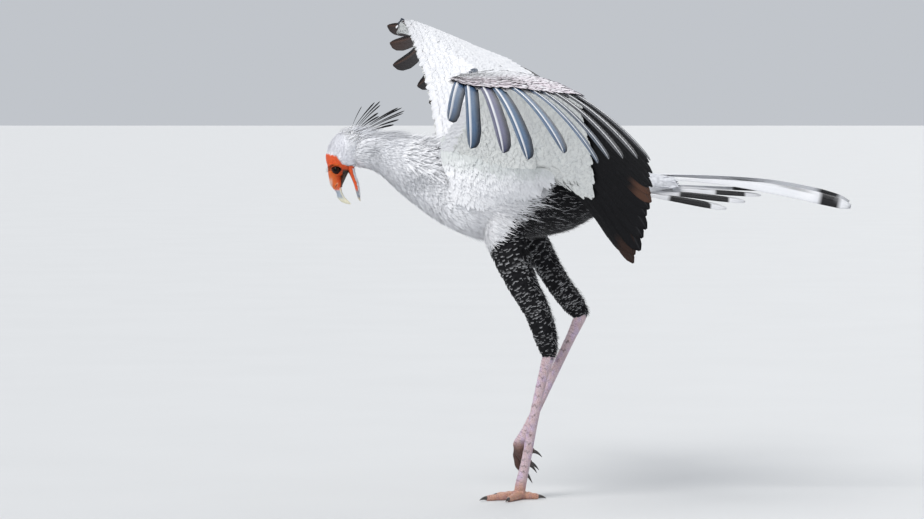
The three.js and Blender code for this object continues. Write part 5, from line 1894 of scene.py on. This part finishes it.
def covert_tint(tone, k, place, side, face, generator):
    """White coverts with faint grey feathers among them, rosy grey on the hand, and tinted greener below as
    a painted reflection of green ground light.
    """
    pale = mix(tone["white"], tone["grey"], (0.22 * generator.uniform(0, 1, len(k)) ** 2)[:, None])
    # Below the wing the white is tinted green: painted reflection of green light in the shade.
    if face < 0:
        pale = pale * [0.97, 0.98, 0.93]
    on_hand = step_between(WRIST + 1.0, WRIST - 1.0, k) * step_between(0.3, 0.7, place)
    rosy = mix(tone["white"], tone["grey"] * [1.35, 1.0, 1.0], generator.uniform(0.2, 0.8, len(k))[:, None])
    share = 0.8 if side == "left" and face > 0 else 0.2
    return mix(pale, rosy, (on_hand * share)[:, None])


TAIL = {"root": [252, 0, 678], "fan": 292, "half_width": 62, "arch": 44, "drop": 10}


class BIRD_OT_tail(bpy.types.Operator):
    """Builds the tail fan and its two long central feathers"""

    bl_idname = "bird.tail"
    bl_label = "Tail"

    def execute(self, context):
        """Eight feathers spread over an arched fan under two streamers that fall by a power."""
        tone = colours()
        material = plume_material("tail_plume", 0.65, 0, 240, 110, 0.0004, 0.08, 0.15)
        count = 8
        u = np.linspace(-1, 1, count)
        rows = 44
        t = np.linspace(0, 1, rows)
        spread = np.interp(t, [0, 0.35, 0.7, 1], [0.45, 0.8, 1, 0.95])
        reach = TAIL["fan"] * (1 - 0.37 * np.abs(u) ** 1.4)
        line = np.empty((count, rows, 3))
        line[..., 0] = TAIL["root"][0] - 8 + t * (reach[:, None] + 8)
        line[..., 1] = u[:, None] * TAIL["half_width"] * spread * 0.86
        arch = TAIL["arch"] * (np.abs(u[:, None]) * 0.9) ** 1.3 * (0.35 + 0.65 * t)
        layer = 1.4 * (3.5 - np.abs(np.arange(count) - 3.5))[:, None]
        line[..., 2] = TAIL["root"][2] - TAIL["drop"] * t - arch - 8 + layer * 0.6
        slope = np.sign(u) * np.abs(u) ** 0.5 * 0.75
        face = unit(np.stack([0 * u, slope, np.ones(count)], -1))[:, None] * np.ones((1, rows, 1))
        outline = np.interp(t, [0, 0.2, 0.75, 0.92, 0.98, 1], [0.3, 0.75, 1, 0.85, 0.55, 0.2])
        half = np.broadcast_to(10.5 * MM * outline, (count, rows))
        shaft = np.broadcast_to(0.0012 * (1 - 0.7 * t), half.shape)
        points, across = flight_feathers(line * MM, face, half, half, np.minimum(shaft, half * 0.5),
                                         half * 0.25, 0.0008)
        a = np.broadcast_to(across, points.shape[:-1])
        from_tip = (1 - np.broadcast_to(t[None, :, None], a.shape)) * reach[:, None, None]
        band_end = (34 + np.array([80, 100, 60, 50, 50, 60, 90, 80]))[:, None, None]
        tint = self.banded(tone, from_tip, 34, band_end, points, a, 1.0)
        piece = tube_piece("tail_fan", points, material, "grey_feather", tint, across)
        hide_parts("tail")

        sign = np.array([-1.0, 1.0])
        length = 432
        line = np.empty((2, rows, 3))
        line[..., 0] = TAIL["root"][0] + 18 + t * length
        line[..., 1] = sign[:, None] * mix(9, 20, t)
        line[..., 2] = TAIL["root"][2] + 9 - 58 * t**2.2 + sign[:, None] * 4
        tilt = 0.95 * (0.15 + 0.85 * t)
        sideways, upward = sign[:, None] * np.sin(tilt), np.cos(tilt) + 0 * sign[:, None]
        face = np.stack([0 * upward, sideways, upward], -1)
        outline = np.interp(t, [0, 0.2, 0.6, 0.85, 0.96, 1], [0.4, 0.5, 1, 0.92, 0.7, 0.3])
        half = np.broadcast_to(18 * MM * outline, (2, rows))
        shaft = np.broadcast_to(0.0016 * (1 - 0.7 * t), half.shape)
        points, across = flight_feathers(line * MM, face, half, half, np.minimum(shaft, half * 0.5),
                                         half * 0.3, 0.0009)
        a = np.broadcast_to(across, points.shape[:-1])
        from_tip = (1 - np.broadcast_to(t[None, :, None], a.shape)) * length * np.ones((2, 1, 1))
        tint = self.banded(tone, from_tip, 28, 68, points, a, 0.5)
        piece = tube_piece("tail_streamers", points, material, "grey_feather", tint, across)
        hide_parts("tail_streamer_left", "tail_streamer_right")
        return {"FINISHED"}

    def banded(self, tone, from_tip, white_to, black_to, points, across, smudged):
        """White feathers with a black band before a white tip, and dark smudges nearer the root."""
        pale = mix(tone["white"], tone["grey"], (0.35 * wavy(points, 0.06, 41))[..., None])
        uneven = (wavy(points, 0.02, 43) - 0.5) * 6
        black = step_between(white_to - 1.5, white_to + 1.5, from_tip + uneven)
        black = black * step_between(black_to + 4, black_to - 4, from_tip + uneven)
        smudge = step_between(0.50, 0.62, wavy(points * [0.3, 1, 1], 0.05, 47)) * smudged
        smudge = smudge * step_between(black_to, black_to + 40, from_tip) * step_between(0.52, 0.6, across)
        return mix(pale, tone["black"], np.maximum(black, smudge)[..., None])


class BIRD_OT_tail_coverts(bpy.types.Operator):
    """Lays the feathers that cover the tail's root"""

    bl_idname = "bird.tail_coverts"
    bl_label = "Tail coverts"

    def execute(self, context):
        """Long vanes over the last of the trunk, running on over the tail's root."""
        tone = colours()
        material = plume_material("tail_covert_plume", 0.85, 4, 30, 20, 0.0003, 0.05, 0.2)
        generator = rng_for("tail coverts")
        keys = np.array([[330, 0, 672, 9, 15, 40], [280, 0, 674, 22, 22, 44], [225, 0, 672, 44, 44, 48],
                         [180, 0, 676, 58, 56, 58]], float)
        form = outward_form(keys)
        u, v = even_roots(form, 900, (0.25, 0.98), (0, 1))
        number = len(u)
        along_u, _ = form.slopes(u, v)
        rows, columns = 7, 5
        points = lay(form, u, v, -along_u, 0.062 * generator.uniform(0.7, 1.2, number),
                     0.018 * generator.uniform(0.8, 1.1, number), -0.006,
                     0.001 * generator.uniform(-1, 1.5, number), round_vane, rows, columns,
                     turn=generator.normal(0, 0.1, number))
        roots = form.point(u, v)
        under = step_between(0.672, 0.655, roots[:, 2])
        base = mix(tone["white"] * 0.95, tone["grey"], (0.4 * (1 - under))[:, None])
        tints = vane_tints(base, rows, columns, 0.06, generator)
        vane_piece("tail_coverts", [(points, tints, skin_places(u, v))], material, "white_feather",
                   facing=[form.normal(u, v)])
        return {"FINISHED"}


class BIRD_OT_crest(bpy.types.Operator):
    """Builds the long black nape quills and the wisps under them"""

    bl_idname = "bird.crest"
    bl_label = "Crest"

    def execute(self, context):
        """Spoon-tipped quills in two loose bunches over the nape: each runs straight with a slight sag,
        narrow at first and widest near its end. Pale wisps lie under them."""
        tone = colours()
        material = plume_material("crest_plume", 0.55, 0, 0, 0, 0.0002, 0.0, 0.0, 0.2)
        generator = rng_for("crest")
        angle = np.array([1.14, 0.90, 0.84, 0.79, 0.70, 0.62, 0.555, 0.53, 0.47, 0.45, 0.38, 0.31])
        length = np.array([62, 84, 92, 86, 70, 66, 108, 114, 114, 108, 92, 78.0])
        count, rows = len(angle), 26
        share = np.linspace(0, 1, count)
        lean = np.where(np.arange(count) % 2 == 0, 1, -1) * (8 + 16 * share)
        lean = lean * generator.uniform(0.3, 1.0, count)
        root = np.stack([mix(-363, -342, share), lean * 0.3, mix(781, 775, share)], -1)
        tip = root + np.stack([np.cos(angle) * length, lean, np.sin(angle) * length], -1)
        t = np.linspace(0, 1, rows)
        line = mix(root[:, None], tip[:, None], t[:, None])
        line[..., 2] += 3 * np.sin(np.pi * t)
        turn = np.sign(lean) * 0.9
        face = unit(np.stack([-np.sin(angle) * 0.6, -turn, np.cos(angle) * 0.6], -1))[:, None]
        face = face * np.ones((1, rows, 1))
        outline = np.interp(t, [0, 0.3, 0.5, 0.72, 0.88, 0.96, 1], [0.8, 0.9, 1.6, 2.7, 3.0, 2.0, 0.4])
        slim = generator.uniform(0.45, 0.80, count)
        slim[0] = 0.3
        half = outline * MM * slim[:, None]
        shaft = np.broadcast_to(0.0005 * (1 - 0.6 * t), half.shape)
        points, across = flight_feathers(line * MM, face, half, half, np.minimum(shaft, half * 0.5),
                                         half * 0.2, 0.0006)
        along = np.broadcast_to(t[None, :, None, None], (*points.shape[:-1], 1))
        tint = mix(tone["black"], tone["grey"] * 0.5, step_between(0.35, 0.05, along) * 0.7)
        piece = tube_piece("crest_quills", points, material, "black_feather", tint, across)
        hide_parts("crest")

        wisps = 460
        share = generator.uniform(0, 1, wisps)
        angle = mix(0.95, -0.16, share) + generator.normal(0, 0.10, wisps)
        root = np.stack([mix(-366, -326, share), generator.normal(0, 10, wisps),
                         mix(782, 766, share) + generator.normal(0, 3, wisps)], -1) * MM
        direction = unit(np.stack([np.cos(angle), generator.normal(0, 0.12, wisps), np.sin(angle)], -1))
        long_ones = mix(0.022, generator.uniform(0.04, 0.095, wisps), share)
        wisp = curved_quills(root, direction, long_ones, 0.0008, [0.004, 0, -0.006], rows=5, corners=4)
        tint = np.broadcast_to(mix(tone["white"], tone["grey"], 0.2), wisp.shape)
        pale = plume_material("nape_plume", 0.8, 0, 0, 0, 0.0001, 0.0, 0.2)
        tube_piece("nape_wisps", wisp, pale, "grey_feather", tint)
        return {"FINISHED"}


class BIRD_OT_alula(bpy.types.Operator):
    """Builds the small dark feathers on each wing's thumb"""

    bl_idname = "bird.alula"
    bl_label = "Alula"

    def execute(self, context):
        """Four small stiff feathers that leave the leading edge near the wrist and lie along the hand."""
        tone = colours()
        material = plume_material("alula_plume", 0.55, 0, 90, 50, 0.0003, 0.06, 0.1)
        rows, count = 20, 4
        t = np.linspace(0, 1, rows)
        for side in SIDES:
            form = wing_face(side, 1)
            start = np.array([5.8, 5.5, 5.2, 4.9])
            length = np.array([2.3, 3.0, 3.7, 4.3]) * (1 if side == "left" else 0.6)
            k = start[:, None] - length[:, None] * t
            v = np.broadcast_to(mix(-0.002, 0.008, np.linspace(0, 1, count))[:, None], k.shape)
            face = form.normal(k, v)
            line = form.point(k, v) + face * (0.004 - 0.0008 * np.arange(count))[:, None, None]
            outline = np.interp(t, [0, 0.2, 0.7, 0.92, 1], [0.4, 0.9, 1, 0.7, 0.15])
            half = np.broadcast_to(0.006 * outline, k.shape)
            shaft = np.broadcast_to(0.0006 * (1 - 0.6 * t), half.shape)
            points, across = flight_feathers(line, face, half, half, np.minimum(shaft, half * 0.5),
                                             half * 0.2, 0.0007)
            # A share of painted sky reflection over the alula's black.
            tint = np.broadcast_to(mix(tone["black"], tone["slate"], 0.35), points.shape)
            tube_piece(f"alula_{side}", points, material, "slate_feather", tint, across)
        return {"FINISHED"}


class BIRD_OT_stage(bpy.types.Operator):
    """Sets the floor, the lights, the backdrop colour and the camera"""

    bl_idname = "bird.stage"
    bl_label = "Stage"

    def execute(self, context):
        """A wide pale floor, three soft sun lights and the camera level with the bird's back."""
        held = context.scene.stage_sizes
        half = 400.0
        steps = np.linspace(-half, half, 5)
        x, y = np.meshgrid(steps, steps, indexing="ij")
        points = np.stack([x, y, 0 * x - 0.0004], -1).reshape(-1, 3)
        index = np.arange(25).reshape(5, 5)
        quads = np.stack([index[:-1, :-1], index[1:, :-1], index[1:, 1:], index[:-1, 1:]], -1).reshape(-1, 4)
        tint = np.broadcast_to(np.array([0.62, 0.63, 0.64]), (25, 3))
        floor = new_object("floor", points, quads, None, floor_material(), None, tints=tint)

        world = bpy.data.worlds.new("studio")
        world.use_nodes = True
        world.node_tree.nodes["Background"].inputs["Color"].default_value = (0.86, 0.90, 0.96, 1)
        world.node_tree.nodes["Background"].inputs["Strength"].default_value = 0.62
        context.scene.world = world
        target = np.array([0.05, 0.0, 0.62])
        suns = [("key", (-2.6, -3.4, 5.2), 0.5, 2.1, (1.0, 0.98, 0.95)),
                ("back", (1.6, 4.0, 3.2), 0.6, 0.9, (1.0, 0.99, 0.97)),
                ("fill", (-1.0, -5.0, 0.9), 0.9, 0.7, (0.97, 0.98, 1.0))]
        for name, place, spread, power, colour in suns:
            data = bpy.data.lights.new(name, "SUN")
            data.angle, data.energy, data.color = spread, power, colour
            lamp = bpy.data.objects.new(name, data)
            aim(lamp, np.array(place), target)
            context.scene.collection.objects.link(lamp)

        data = bpy.data.cameras.new("camera")
        data.lens = held.lens
        data.sensor_width = 36.0
        data.clip_end = 200.0
        camera = bpy.data.objects.new("camera", data)
        middle_x = (462 - 520) / 470
        camera.location = (middle_x, -held.distance, held.eye_level)
        camera.rotation_euler = (np.pi / 2 - held.tilt, 0.0, 0.0)
        context.scene.collection.objects.link(camera)
        context.scene.camera = camera
        context.scene.view_settings.view_transform = "Standard"
        return {"FINISHED"}


def aim(thing, place, target):
    """Puts a thing at a place and turns its -Z axis towards a target."""
    thing.location = place
    thing.rotation_euler = Vector(target - place).to_track_quat("-Z", "Y").to_euler()


OPERATORS = (
    BIRD_OT_stage, BIRD_OT_skin, BIRD_OT_face, BIRD_OT_eyes, BIRD_OT_bill, BIRD_OT_legs,
    BIRD_OT_body_feathers, BIRD_OT_plumes, BIRD_OT_head_feathers, BIRD_OT_thigh_feathers,
    BIRD_OT_coverts, BIRD_OT_primaries, BIRD_OT_secondaries, BIRD_OT_alula,
    BIRD_OT_tail, BIRD_OT_tail_coverts, BIRD_OT_crest,
)


class BIRD_PT_sidebar(bpy.types.Panel):
    """Lists the bird's pieces and their settings"""

    bl_idname = "BIRD_PT_sidebar"
    bl_label = "Secretary bird"
    bl_space_type = "VIEW_3D"
    bl_region_type = "UI"
    bl_category = "Bird"

    def draw(self, context):
        """One button for each piece and one field for each setting."""
        for operator in OPERATORS:
            self.layout.operator(operator.bl_idname)
        for group in ("bird_colours", "coat_sizes", "stage_sizes"):
            held = getattr(context.scene, group)
            for name in type(held).__annotations__:
                self.layout.prop(held, name)


GROUPS = {"bird_colours": BirdColours, "coat_sizes": CoatSizes, "stage_sizes": StageSizes}
CLASSES = (*GROUPS.values(), *OPERATORS, BIRD_PT_sidebar)


def register():
    """Adds the classes and the scene's settings."""
    for made in CLASSES:
        bpy.utils.register_class(made)
    for name, group in GROUPS.items():
        setattr(bpy.types.Scene, name, bpy.props.PointerProperty(type=group))


def unregister():
    """Removes the settings and the classes."""
    for name in GROUPS:
        delattr(bpy.types.Scene, name)
    for made in reversed(CLASSES):
        bpy.utils.unregister_class(made)


def main():
    """Registers the add-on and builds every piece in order."""
    register()
    for operator in OPERATORS:
        family, name = operator.bl_idname.split(".")
        getattr(getattr(bpy.ops, family), name)()


if __name__ == "__main__":
    main()
